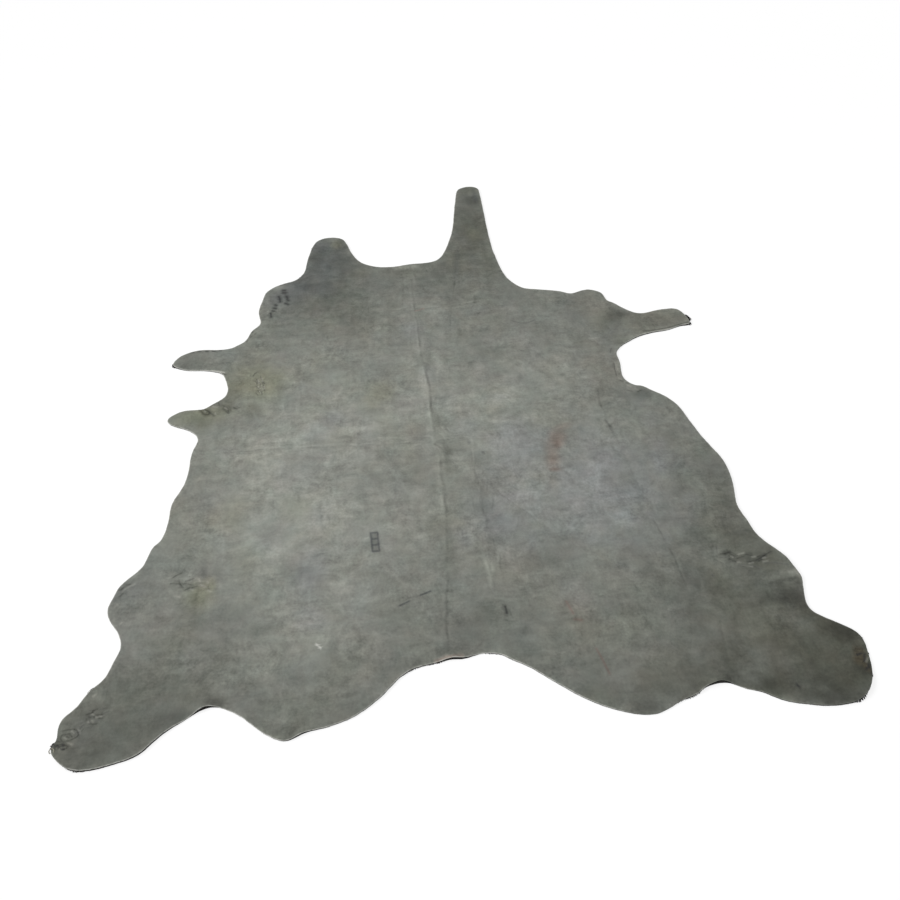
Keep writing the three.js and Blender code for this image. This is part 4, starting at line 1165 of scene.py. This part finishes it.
def leather_sheet(settings):
    """The tanned skin as one closed sheet, with its folds, scores, colours and cut edge."""
    rng = np.random.default_rng(SEEDS["leather"])
    line = cut_line(settings)
    count = len(line)
    rings = [line - outward(line) * row["inset"] * MM for row in RIM_SECTION]
    folds = crease_lines() + short_marks(rng) + scores()
    top, top_faces = flesh_plan(line, rings[0], folds, settings.cell, rng)

    solid = merged_copy(HIDE)
    height = surface_heights(BVHTree.FromBMesh(solid), top)
    solid.free()
    fold_height, crease_light_and_shade = relief(top, folds)
    lift = sum(place["rise"] * MM * bell(away_from(top, place)) for place in LIFTS.values())
    height = settled(height, top_faces) + lift + layered(top, COCKLE) * MM + fold_height
    height = np.maximum(height, settings.thickness + CLEARANCE * MM)

    skin = BVHTree.FromPolygons(np.column_stack([top, height]).tolist(), top_faces.tolist())
    inner = lattice(line, UNDERSIDE_CELL * MM, MARGIN["underside"], rng)
    bottom, bottom_faces = triangulated(rings[-1], inner)
    bottom_height = surface_heights(skin, bottom) - settings.thickness
    bottom_height[:count] = height[:count] - RIM_SECTION[-1]["drop"] * MM
    bottom_cut = np.where(np.arange(len(bottom)) < count, RIM_SECTION[-1]["cut"], 0.0)

    layers = [(top, height, np.zeros(len(top)))]
    for row, ring in zip(RIM_SECTION[1:-1], rings[1:-1]):
        layers.append((ring, height[:count] - row["drop"] * MM, np.full(count, row["cut"])))
    layers.append((bottom, bottom_height, bottom_cut))
    plan, heights, cuts = (np.concatenate(parts) for parts in zip(*layers))
    starts = np.cumsum([0] + [len(layer[0]) for layer in layers[:-1]])
    faces = np.vstack([top_faces, bottom_faces[:, ::-1] + starts[-1], ring_strips(starts, count)])

    piece = new_piece(LEATHER, np.column_stack([plan, heights]), faces, suede_finish(settings))
    soiled = np.max([np.exp(-away_from(plan, place) ** 4) for place in DULL_RIMS.values()], axis=0)
    store(piece, "dye", painted(plan, settings.suede))
    # Painted highlight and shade along the folds, none on the cut edge and underside.
    store(piece, "crease_light_and_shade", np.concatenate([crease_light_and_shade, np.zeros(len(plan) - len(crease_light_and_shade))]))
    store(piece, "cut", cuts * (1 - SOIL * soiled))
    store(piece, "rim", np.clip(1 - inside_by(line, plan) / (RIM_ZONE * MM), 0, 1))
    store(piece, "hair_side", np.arange(len(plan)) >= starts[-1])
    return piece


# ---------------------------------------------------------------- materials


class Socket:
    """A node's output in an expression: the operators add Math nodes, or Vector Math on vectors."""

    def __init__(self, finish, socket):
        self.finish = finish
        self.socket = socket

    def joined(self, operation, first, second):
        kind = "Math" if self.socket.type == "VALUE" else "VectorMath"
        return self.finish.add(kind, {"operation": operation}, {0: first, 1: second})

    def __add__(self, other):
        return self.joined("ADD", self, other)

    def __radd__(self, other):
        return self.joined("ADD", other, self)

    def __sub__(self, other):
        return self.joined("SUBTRACT", self, other)

    def __rsub__(self, other):
        return self.joined("SUBTRACT", other, self)

    def __mul__(self, other):
        return self.joined("MULTIPLY", self, other)

    def __rmul__(self, other):
        return self.joined("MULTIPLY", other, self)


class Finish:
    """A material, or the world's light, being made one node at a time."""

    def __init__(self, owner):
        self.owner = owner
        self.owner.use_nodes = True
        self.tree = owner.node_tree
        self.tree.nodes.clear()

    def add(self, kind, settings=None, inputs=None, output=0):
        """Adds a node with its settings, then the values or links of its sockets."""
        node = self.tree.nodes.new("ShaderNode" + kind)
        for name, value in (settings or {}).items():
            setattr(node, name, value)
        for key, value in (inputs or {}).items():
            if isinstance(value, Socket):
                self.tree.links.new(value.socket, node.inputs[key])
            else:
                node.inputs[key].default_value = value
        return Socket(self, node.outputs[output]) if node.outputs else None

    def place(self):
        """Where the surface is, in the object's own metres."""
        return self.add("TexCoord", output="Object")

    def stored(self, name, output="Fac"):
        """A number, or with output Color a colour, kept for each point."""
        return self.add("Attribute", {"attribute_name": name}, output=output)

    def grain(self, scale, detail=2.0, stretch=(1, 1, 1), place=None):
        """Noise about zero, from about -0.5 to 0.5, with that many blots to the metre."""
        at = self.add("Mapping", inputs={"Vector": place or self.place(), "Scale": stretch})
        inputs = {"Vector": at, "Scale": scale, "Detail": detail, "Roughness": 0.55}
        return self.add("TexNoise", inputs=inputs) - 0.5

    def mixed(self, share, first, second):
        """Two colours mixed, all first at 0 and all second at 1."""
        first, second = (
            colour if isinstance(colour, Socket) else (*colour, 1.0) for colour in (first, second))
        inputs = {0: share, 6: first, 7: second}
        return self.add("Mix", {"data_type": "RGBA", "clamp_factor": True}, inputs, output=2)

    def scaled(self, colour, amount):
        """A colour made lighter or darker by an amount."""
        return self.add("VectorMath", {"operation": "SCALE"}, {0: colour, "Scale": amount})

    def background_rays(self):
        """1 for the rays that show the background, seen straight, in a gloss or through glass."""
        straight, gloss, through = (
            self.add("LightPath", output=f"Is {kind} Ray") for kind in ("Camera", "Glossy", "Transmission"))
        either = straight.joined("MAXIMUM", straight, gloss)
        return either.joined("MAXIMUM", either, through)

    def ends_with(self, surface, kind="OutputMaterial"):
        """Puts the finished shader on the material, or on the world."""
        self.add(kind, inputs={"Surface": surface})
        return self.owner

    def surfaced(self, kind, colour, unevenness, bumps):
        """Puts one kind of surface on the material, with bumps between 0 and 1."""
        surface = SURFACES[kind]
        normal = self.add("Bump", inputs={
            "Height": bumps, "Distance": surface["height"], "Strength": surface["strength"]})
        return self.ends_with(self.add("BsdfPrincipled", inputs={
            "Base Color": colour, "Roughness": surface["roughness"] + unevenness,
            "Specular IOR Level": surface["gloss"], "Normal": normal}))


def suede_finish(settings):
    """Tanned flesh side: napped, cloudy grey-green, paler where it is cut, with painted highlight and shade
    along its folds.
    """
    finish = Finish(bpy.data.materials.new("suede"))
    place = finish.place()
    swirl = finish.add(
        "TexNoise", inputs={"Vector": place, "Scale": SWIRL_SCALE, "Detail": 2.0}, output=1)

    def grain(name, shift=None):
        """One of the suede's noises, as strong as it counts."""
        row = SUEDE_GRAINS[name]
        at = place + finish.scaled(swirl, row["swirl"]) if row["swirl"] else place
        at = at + shift if shift else at
        return finish.grain(row["scale"], row["detail"], row["drawn"], at) * row["weight"]

    fine = grain("blotches") + grain("smears across") + grain("smears along") + grain("specks")
    lively = fine * (1.0 + grain("calm and lively"))
    clouds = grain("broad clouds") + grain("small clouds") + lively
    nap = grain("nap")
    # Painted highlight on fold ridges and painted shade in fold troughs.
    crease_light_and_shade = finish.stored("crease_light_and_shade") * settings.crease_shading
    rim = finish.stored("rim")
    flecked = rim * rim * (SUEDE["rim"] + grain("flecks at the rim"))
    shade = SUEDE["bright"] + clouds + nap * SUEDE["nap"] + crease_light_and_shade + flecked
    cool = finish.mixed(grain("cool and warm") + 0.5, COOL, WARM)
    reds = grain("red and green", RED_SHIFT) + grain("red and green, broad")
    rosy = finish.mixed(reds + 0.5, RED, GREEN)
    flesh = finish.scaled(finish.stored("dye", "Color") * (cool * rosy), shade)
    frayed = finish.stored("cut") * (SUEDE["cut"] + grain("frays at the cut"))
    edged = finish.mixed(frayed, flesh, settings.cut)
    colour = finish.mixed(finish.stored("hair_side"), edged, HAIR_ROOTS)
    return finish.surfaced("suede", colour, grain("dull and bright"), nap + grain("tooth") + 0.5)


def hair_finish(settings):
    """Straight glossy cattle hair, black to dark brown from lock to lock."""
    finish = Finish(bpy.data.materials.new("hair"))
    strands = finish.grain(1.0, 2.0, STRANDS)
    brown = finish.stored("tint") + strands * 0.6
    colour = finish.mixed(brown, settings.colour, settings.sunned)
    return finish.surfaced("hair", colour, strands * 0.2, strands + 0.5)


def membrane_finish():
    """Dried membrane left on the flesh side: pale, thin and horny."""
    finish = Finish(bpy.data.materials.new("membrane"))
    stain = finish.grain(120.0, 3.0)
    colour = finish.mixed(stain * 1.6 + 0.5, HORN, PALE_HORN)
    return finish.surfaced("membrane", colour, stain * 0.3, finish.grain(500.0) + 0.5)


# ---------------------------------------------------------------- hair


def deselect_all():
    """Leaves nothing selected, so that an operator acts only on what comes next."""
    if bpy.context.object and bpy.context.object.mode != "OBJECT":
        bpy.ops.object.mode_set(mode="OBJECT")
    bpy.ops.object.select_all(action="DESELECT")


def cut_across(places, axis):
    """Cuts the mesh in Edit Mode square to an axis at each of some places along it."""
    normal = np.eye(3)[axis]
    for place in places:
        bpy.ops.mesh.select_all(action="SELECT")
        bpy.ops.mesh.bisect(plane_co=normal * place, plane_no=normal)


def lock_shape(cuts):
    """One lock of unit size along Y, three-sided and pointed, as points and triangles."""
    deselect_all()
    bpy.ops.mesh.primitive_cone_add(
        vertices=3, radius1=0.5, radius2=0.0, depth=1.0, location=(0.0, 0.5, 0.0),
        rotation=(math.radians(-90), 0.0, 0.0))
    lock = bpy.context.object
    bpy.ops.object.transform_apply(location=True, rotation=True, scale=True)
    rings = LOCK_RINGS[:cuts + 1]
    bpy.ops.object.mode_set(mode="EDIT")
    cut_across([ring["along"] for ring in rings[1:]], 1)
    bpy.ops.mesh.select_all(action="SELECT")
    bpy.ops.mesh.quads_convert_to_tris()
    bpy.ops.mesh.normals_make_consistent(inside=False)
    bpy.ops.object.mode_set(mode="OBJECT")
    points = np.array([vert.co for vert in lock.data.vertices])
    faces = np.array([face.vertices[:] for face in lock.data.polygons])
    for ring in rings:
        at = np.abs(points[:, 1] - ring["along"]) < 0.01
        widest = np.abs(points[at][:, [0, 2]]).max()
        points[at] *= (ring["thick"] / (2 * widest), 1.0, ring["thick"] / (2 * widest))
        points[at] += (ring["bow"], 0.0, 0.0)
    bpy.data.objects.remove(lock)
    return points, faces


def growth(places, rng):
    """The way the hair lies, as an angle: from head to tail, and outwards on flanks and legs."""
    sweep = np.clip(places[:, 0] / (FLANK * MM), -1, 1) * math.radians(GROWTH["sweep"])
    swirl = layered(places, SWIRL) * math.radians(GROWTH["swirl"])
    return math.radians(-90) + sweep + swirl + rng.normal(0, math.radians(GROWTH["stray"]), len(places))


def reached(roots, turn, length):
    """Where locks of that length end that lie that way from their roots."""
    return roots + np.stack([np.cos(turn), np.sin(turn)], axis=1) * length[:, None]


def under_skin(leather, roots, turn, length):
    """The heights of the skin's underside at the roots and at the tips of locks."""
    ends = (roots, reached(roots, turn, length))
    return [surface_heights(leather, places, from_above=False) for places in ends]


def locks_piece(name, shape, locks, material):
    """Many locks as one mesh. locks holds their measures, with a row for each lock but in thick."""
    points, faces = shape
    across = points[:, 0] * locks["width"][:, None]
    along = points[:, 1] * locks["length"][:, None]
    turn = locks["turn"][:, None]
    x = locks["root"][:, :1] + along * np.cos(turn) + across * np.sin(turn)
    y = locks["root"][:, 1:] + along * np.sin(turn) - across * np.cos(turn)
    fall = (locks["tip_z"] - locks["root_z"])[:, None] * points[:, 1] ** LOCK_SAG
    z = locks["root_z"][:, None] + fall + points[:, 2] * locks["thick"]
    place = np.stack([x, y, np.maximum(z, HAIR_FLOOR * MM)], axis=-1)
    every = faces + (np.arange(len(turn)) * len(points))[:, None, None]
    piece = new_piece(name, place.reshape(-1, 3), every.reshape(-1, 3), material)
    store(piece, "tint", np.repeat(locks["tint"], len(points)))
    return piece


def coat_locks(settings, leather, line, roots, rng):
    """The locks of the hair side, lying flat under the skin and ending inside the rim."""
    count = len(roots)
    turn = growth(roots, rng)
    length = settings.length * rng.uniform(*COAT["long"], count)
    past = np.maximum(COAT_INSET * MM - inside_by(line, reached(roots, turn, length)), 0.0)
    length = np.maximum(length - TRIMMING * past, SHORTEST_LOCK * MM)
    at_root, at_tip = under_skin(leather, roots, turn, length)
    return {
        "root": roots, "turn": turn, "length": length, "thick": COAT["thick"] * MM,
        "width": settings.width * rng.uniform(*COAT["wide"], count),
        "root_z": at_root - COAT["sunk"] * MM,
        "tip_z": np.maximum(at_tip - rng.uniform(*COAT["fall"], count) * MM, LOWEST_TIP * MM),
        "tint": rng.uniform(0.0, COAT["brown"], count) ** 2,
    }


def rim_locks(settings, leather, line, rng):
    """Two rows of locks at the cut edge: a curtain under it, and uneven tufts past the far rims."""
    row = resampled(line, EDGE_STEP * MM)
    fine = np.vstack([row, row])
    out = np.vstack([outward(row), outward(row)])
    count = len(fine)
    far = np.clip((out[:, 1] - FAR_RIM["from"]) * FAR_RIM["onset"], 0, 1)
    tufts = layered(fine, TUFTING)
    ragged = np.clip(tufts * FAR_RIM["tufts"] - FAR_RIM["back"], *FAR_RIM["proud"])
    proud = far * ragged - NEAR_RIM_INSET * (1 - far)
    proud -= np.repeat([0.0, SECOND_ROW], len(row))
    for tuft in TUFTS.values():
        proud += tuft["proud"] * bell(away_from(fine, tuft)) * (1 + TUFT_UNEVEN * tufts)
    length = (rng.uniform(*RIM["long"], count) + far * rng.uniform(*FAR_RIM["longer"], count)) * MM
    away = np.arctan2(out[:, 1], out[:, 0])
    off = (growth(fine, rng) - away + math.pi) % (2 * math.pi) - math.pi
    turn = away + np.clip(off, -RIM_TURN, RIM_TURN) * RIM_FOLLOWS
    inset = length * np.cos(turn - away) - (proud + rng.normal(0, RIM_UNEVEN, count)) * MM
    roots = fine - out * inset[:, None]
    at_root, at_tip = under_skin(leather, roots, turn, length)
    return {
        "root": roots, "turn": turn, "length": length, "thick": RIM["thick"] * MM,
        "width": settings.rim_width * rng.uniform(*RIM["wide"], count),
        "root_z": at_root - RIM["sunk"] * MM,
        "tip_z": at_tip * (1 - rng.uniform(*RIM["fall"], count)),
        "tint": rng.uniform(0.0, RIM["brown"], count) ** 2,
    }


def dark_band_under_rim(leather, line, material):
    """A dark closed band just inside the rim, from the skin down to the floor: partly the dense undercoat,
    partly painted shade for the shadow under lifted rims.
    """
    ragged = layered(line, BAND_EDGE)
    count = len(line)
    rings = []
    for inset, down in BAND_SECTION:
        plan = line - outward(line) * (inset + ragged)[:, None] * MM
        top = surface_heights(leather, plan, from_above=False) + BAND_GAP * MM
        rings.append(np.column_stack([plan, top + (BAND_GAP * MM - top) * down]))
    starts = np.arange(len(rings) + 1) % len(rings) * count
    piece = new_piece("hair_mat", np.vstack(rings), ring_strips(starts, count), material)
    store(piece, "tint", np.zeros(len(piece.data.vertices)))
    return piece


# ---------------------------------------------------------------- dried membrane


def membrane_loop(skin, material):
    """A curled thread of dried membrane that lies on the skin."""
    deselect_all()
    long, wide, thick = (MEMBRANE[side] * MM for side in ("long", "wide", "thick"))
    bpy.ops.mesh.primitive_cube_add(size=1.0, scale=(long, wide, thick))
    piece = bpy.context.object
    piece.name = piece.data.name = "membrane_loop"
    bpy.ops.object.transform_apply(location=False, rotation=False, scale=True)
    bpy.ops.object.mode_set(mode="EDIT")
    cut_across(np.linspace(-0.5, 0.5, MEMBRANE_CUTS + 2)[1:-1] * long, 0)
    bpy.ops.object.mode_set(mode="OBJECT")
    bend = piece.modifiers.new("bend", "SIMPLE_DEFORM")
    bend.deform_method = "BEND"
    bend.deform_axis = "Z"
    bend.angle = math.radians(MEMBRANE["bend"])
    soften = piece.modifiers.new("soften", "SUBSURF")
    soften.levels = soften.render_levels = 1
    for modifier in ("bend", "soften"):
        bpy.ops.object.modifier_apply(modifier=modifier)
    piece.rotation_euler.z = math.radians(MEMBRANE["turn"])
    piece.location = (MEMBRANE["x"] * MM, MEMBRANE["y"] * MM, 0.0)
    bpy.ops.object.transform_apply(location=True, rotation=True, scale=True)
    points = np.array([vert.co for vert in piece.data.vertices])
    plan = points[:, :2]
    lie = surface_heights(skin, plan).max() - MEMBRANE_SUNK * MM + thick / 2
    points[:, 2] += lie + layered(plan, MEMBRANE_WAVE) * MM
    piece.data.vertices.foreach_set("co", points.astype(np.float32).ravel())
    bpy.ops.object.shade_smooth()
    piece.data.materials.append(material)
    return piece


# ---------------------------------------------------------------- stage


def floor():
    """A plain white floor that keeps a soft shadow."""
    bpy.ops.mesh.primitive_plane_add(size=FLOOR_SIZE)
    plane = bpy.context.object
    plane.name = plane.data.name = "floor"
    finish = Finish(bpy.data.materials.new("floor"))
    lit = finish.add("BsdfDiffuse", inputs={"Color": (0.95, 0.95, 0.95, 1.0)})
    glow = finish.add("Emission", inputs={"Color": WHITE, "Strength": FLOOR_GLOW})
    share = finish.background_rays() * (1 - FLOOR_SHADOW)
    plane.data.materials.append(finish.ends_with(
        finish.add("MixShader", inputs={0: share, 1: lit, 2: glow})))


def world(settings):
    """White all round for the eye, and an even light for the hide."""
    bpy.context.scene.world = bpy.data.worlds.new("studio")
    finish = Finish(bpy.context.scene.world)
    strength = finish.background_rays() * (1 - settings.ambient) + settings.ambient
    glow = finish.add("Background", inputs={"Color": WHITE, "Strength": strength})
    finish.ends_with(glow, "OutputWorld")


def lamp(name, kind, place, aim, power):
    """The settings of a new lamp that shines towards an aim, and that the camera doesn't see."""
    bpy.ops.object.light_add(type=kind, location=place)
    made = bpy.context.object
    made.name = name
    made.rotation_euler = (Vector(aim) - Vector(place)).to_track_quat("-Z", "Y").to_euler()
    made.data.energy = power
    made.visible_camera = False
    return made.data


def lamps():
    """A broad key from the left, and a softbox over the left of the hide."""
    lean = math.radians(KEY["lean"])
    power = KEY["share"] * math.pi / math.cos(lean)
    aim = (math.sin(lean), KEY["drift"], KEY["height"] - math.cos(lean))
    key = lamp("key", "SUN", (0.0, 0.0, KEY["height"]), aim, power)
    key.angle = math.radians(KEY["spread"])
    softbox = lamp("softbox", "AREA", SOFTBOX["place"], SOFTBOX["aim"], SOFTBOX["power"])
    softbox.size = SOFTBOX["size"]


def camera(settings):
    """A camera above the floor, a little to the left of the tail, looking down at the hide."""
    bpy.ops.object.camera_add(location=(*CAMERA_PLACE, settings.height))
    made = bpy.context.object
    made.rotation_euler = (math.radians(90) - settings.tilt, 0.0, -settings.heading)
    made.data.lens = settings.lens
    made.data.sensor_width = 36.0
    made.data.clip_end = 2 * FLOOR_SIZE
    bpy.context.scene.camera = made


# ---------------------------------------------------------------- operators


def tree_of_leather():
    """A tree of the finished leather's faces, which the other pieces are fitted to."""
    if LEATHER not in bpy.data.objects:
        raise RuntimeError("Make the leather first")
    return BVHTree.FromObject(bpy.data.objects[LEATHER], bpy.context.evaluated_depsgraph_get())


class COWHIDE_OT_leather(bpy.types.Operator):
    """Make the tanned skin in place of its plain solid"""

    bl_idname = "cowhide.leather"
    bl_label = "Leather"

    def execute(self, context):
        piece = leather_sheet(context.scene.cowhide_leather)
        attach(piece, BODY)
        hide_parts(HIDE)
        return {"FINISHED"}


class COWHIDE_OT_hair_coat(bpy.types.Operator):
    """Make the hair side: locks that lie flat under the skin"""

    bl_idname = "cowhide.hair_coat"
    bl_label = "Hair Coat"

    def execute(self, context):
        settings = context.scene.cowhide_hair
        rng = np.random.default_rng(SEEDS["coat"])
        leather = tree_of_leather()
        line = cut_line(context.scene.cowhide_leather)
        roots = lattice(line, COAT_CELL * MM, MARGIN["coat"], rng)
        material = hair_finish(settings)
        shape = lock_shape(1)
        fore = roots[:, 1] > COAT_PARTING * MM
        for name, part in (("hair_fore", fore), ("hair_hind", ~fore)):
            locks = coat_locks(settings, leather, line, roots[part], rng)
            piece = locks_piece(name, shape, locks, material)
            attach(piece, BODY)
        return {"FINISHED"}


class COWHIDE_OT_rim_hair(bpy.types.Operator):
    """Make the locks that show round the cut edge, and the dark band under it, part undercoat and part
    painted shade
    """

    bl_idname = "cowhide.rim_hair"
    bl_label = "Rim Hair"

    def execute(self, context):
        settings = context.scene.cowhide_hair
        rng = np.random.default_rng(SEEDS["rim"])
        leather = tree_of_leather()
        line = cut_line(context.scene.cowhide_leather)
        material = bpy.data.materials["hair"]
        locks = rim_locks(settings, leather, line, rng)
        # The dark band has the hair's material: part undercoat, part painted shade under the rim.
        for piece in (
                locks_piece("hair_rim", lock_shape(2), locks, material),
                dark_band_under_rim(leather, line, material)):
            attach(piece, BODY)
        return {"FINISHED"}


class COWHIDE_OT_membrane(bpy.types.Operator):
    """Make the curl of dried membrane at the left hind shank"""

    bl_idname = "cowhide.membrane"
    bl_label = "Membrane Curl"

    def execute(self, context):
        piece = membrane_loop(tree_of_leather(), membrane_finish())
        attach(piece, BODY)
        return {"FINISHED"}


class COWHIDE_OT_stage(bpy.types.Operator):
    """Make the floor, the light and the camera"""

    bl_idname = "cowhide.stage"
    bl_label = "Stage"

    def execute(self, context):
        settings = context.scene.cowhide_stage
        deselect_all()
        floor()
        world(settings)
        lamps()
        camera(settings)
        context.scene.view_settings.view_transform = "Standard"
        return {"FINISHED"}


class COWHIDE_PT_panel(bpy.types.Panel):
    """Lists the pieces of the rug"""

    bl_label = "Cowhide Rug"
    bl_idname = "COWHIDE_PT_panel"
    bl_space_type = "VIEW_3D"
    bl_region_type = "UI"
    bl_category = "Cowhide"

    def draw(self, context):
        for operator in OPERATORS:
            self.layout.operator(operator.bl_idname)
        for group in GROUPS:
            box = self.layout.box()
            settings = getattr(context.scene, group)
            for name in settings.bl_rna.properties.keys():
                if name not in ("rna_type", "name"):
                    box.prop(settings, name)


OPERATORS = (
    COWHIDE_OT_leather,
    COWHIDE_OT_hair_coat,
    COWHIDE_OT_rim_hair,
    COWHIDE_OT_membrane,
    COWHIDE_OT_stage,
)
GROUPS = {
    "cowhide_leather": LeatherSettings,
    "cowhide_hair": HairSettings,
    "cowhide_stage": StageSettings,
}
CLASSES = (*GROUPS.values(), *OPERATORS, COWHIDE_PT_panel)


def register():
    for kind in CLASSES:
        bpy.utils.register_class(kind)
    for name, group in GROUPS.items():
        setattr(bpy.types.Scene, name, bpy.props.PointerProperty(type=group))


def unregister():
    for name in GROUPS:
        delattr(bpy.types.Scene, name)
    for kind in reversed(CLASSES):
        bpy.utils.unregister_class(kind)


def main():
    register()
    bpy.ops.cowhide.leather()
    bpy.ops.cowhide.hair_coat()
    bpy.ops.cowhide.rim_hair()
    bpy.ops.cowhide.membrane()
    bpy.ops.cowhide.stage()


if __name__ == "__main__":
    main()
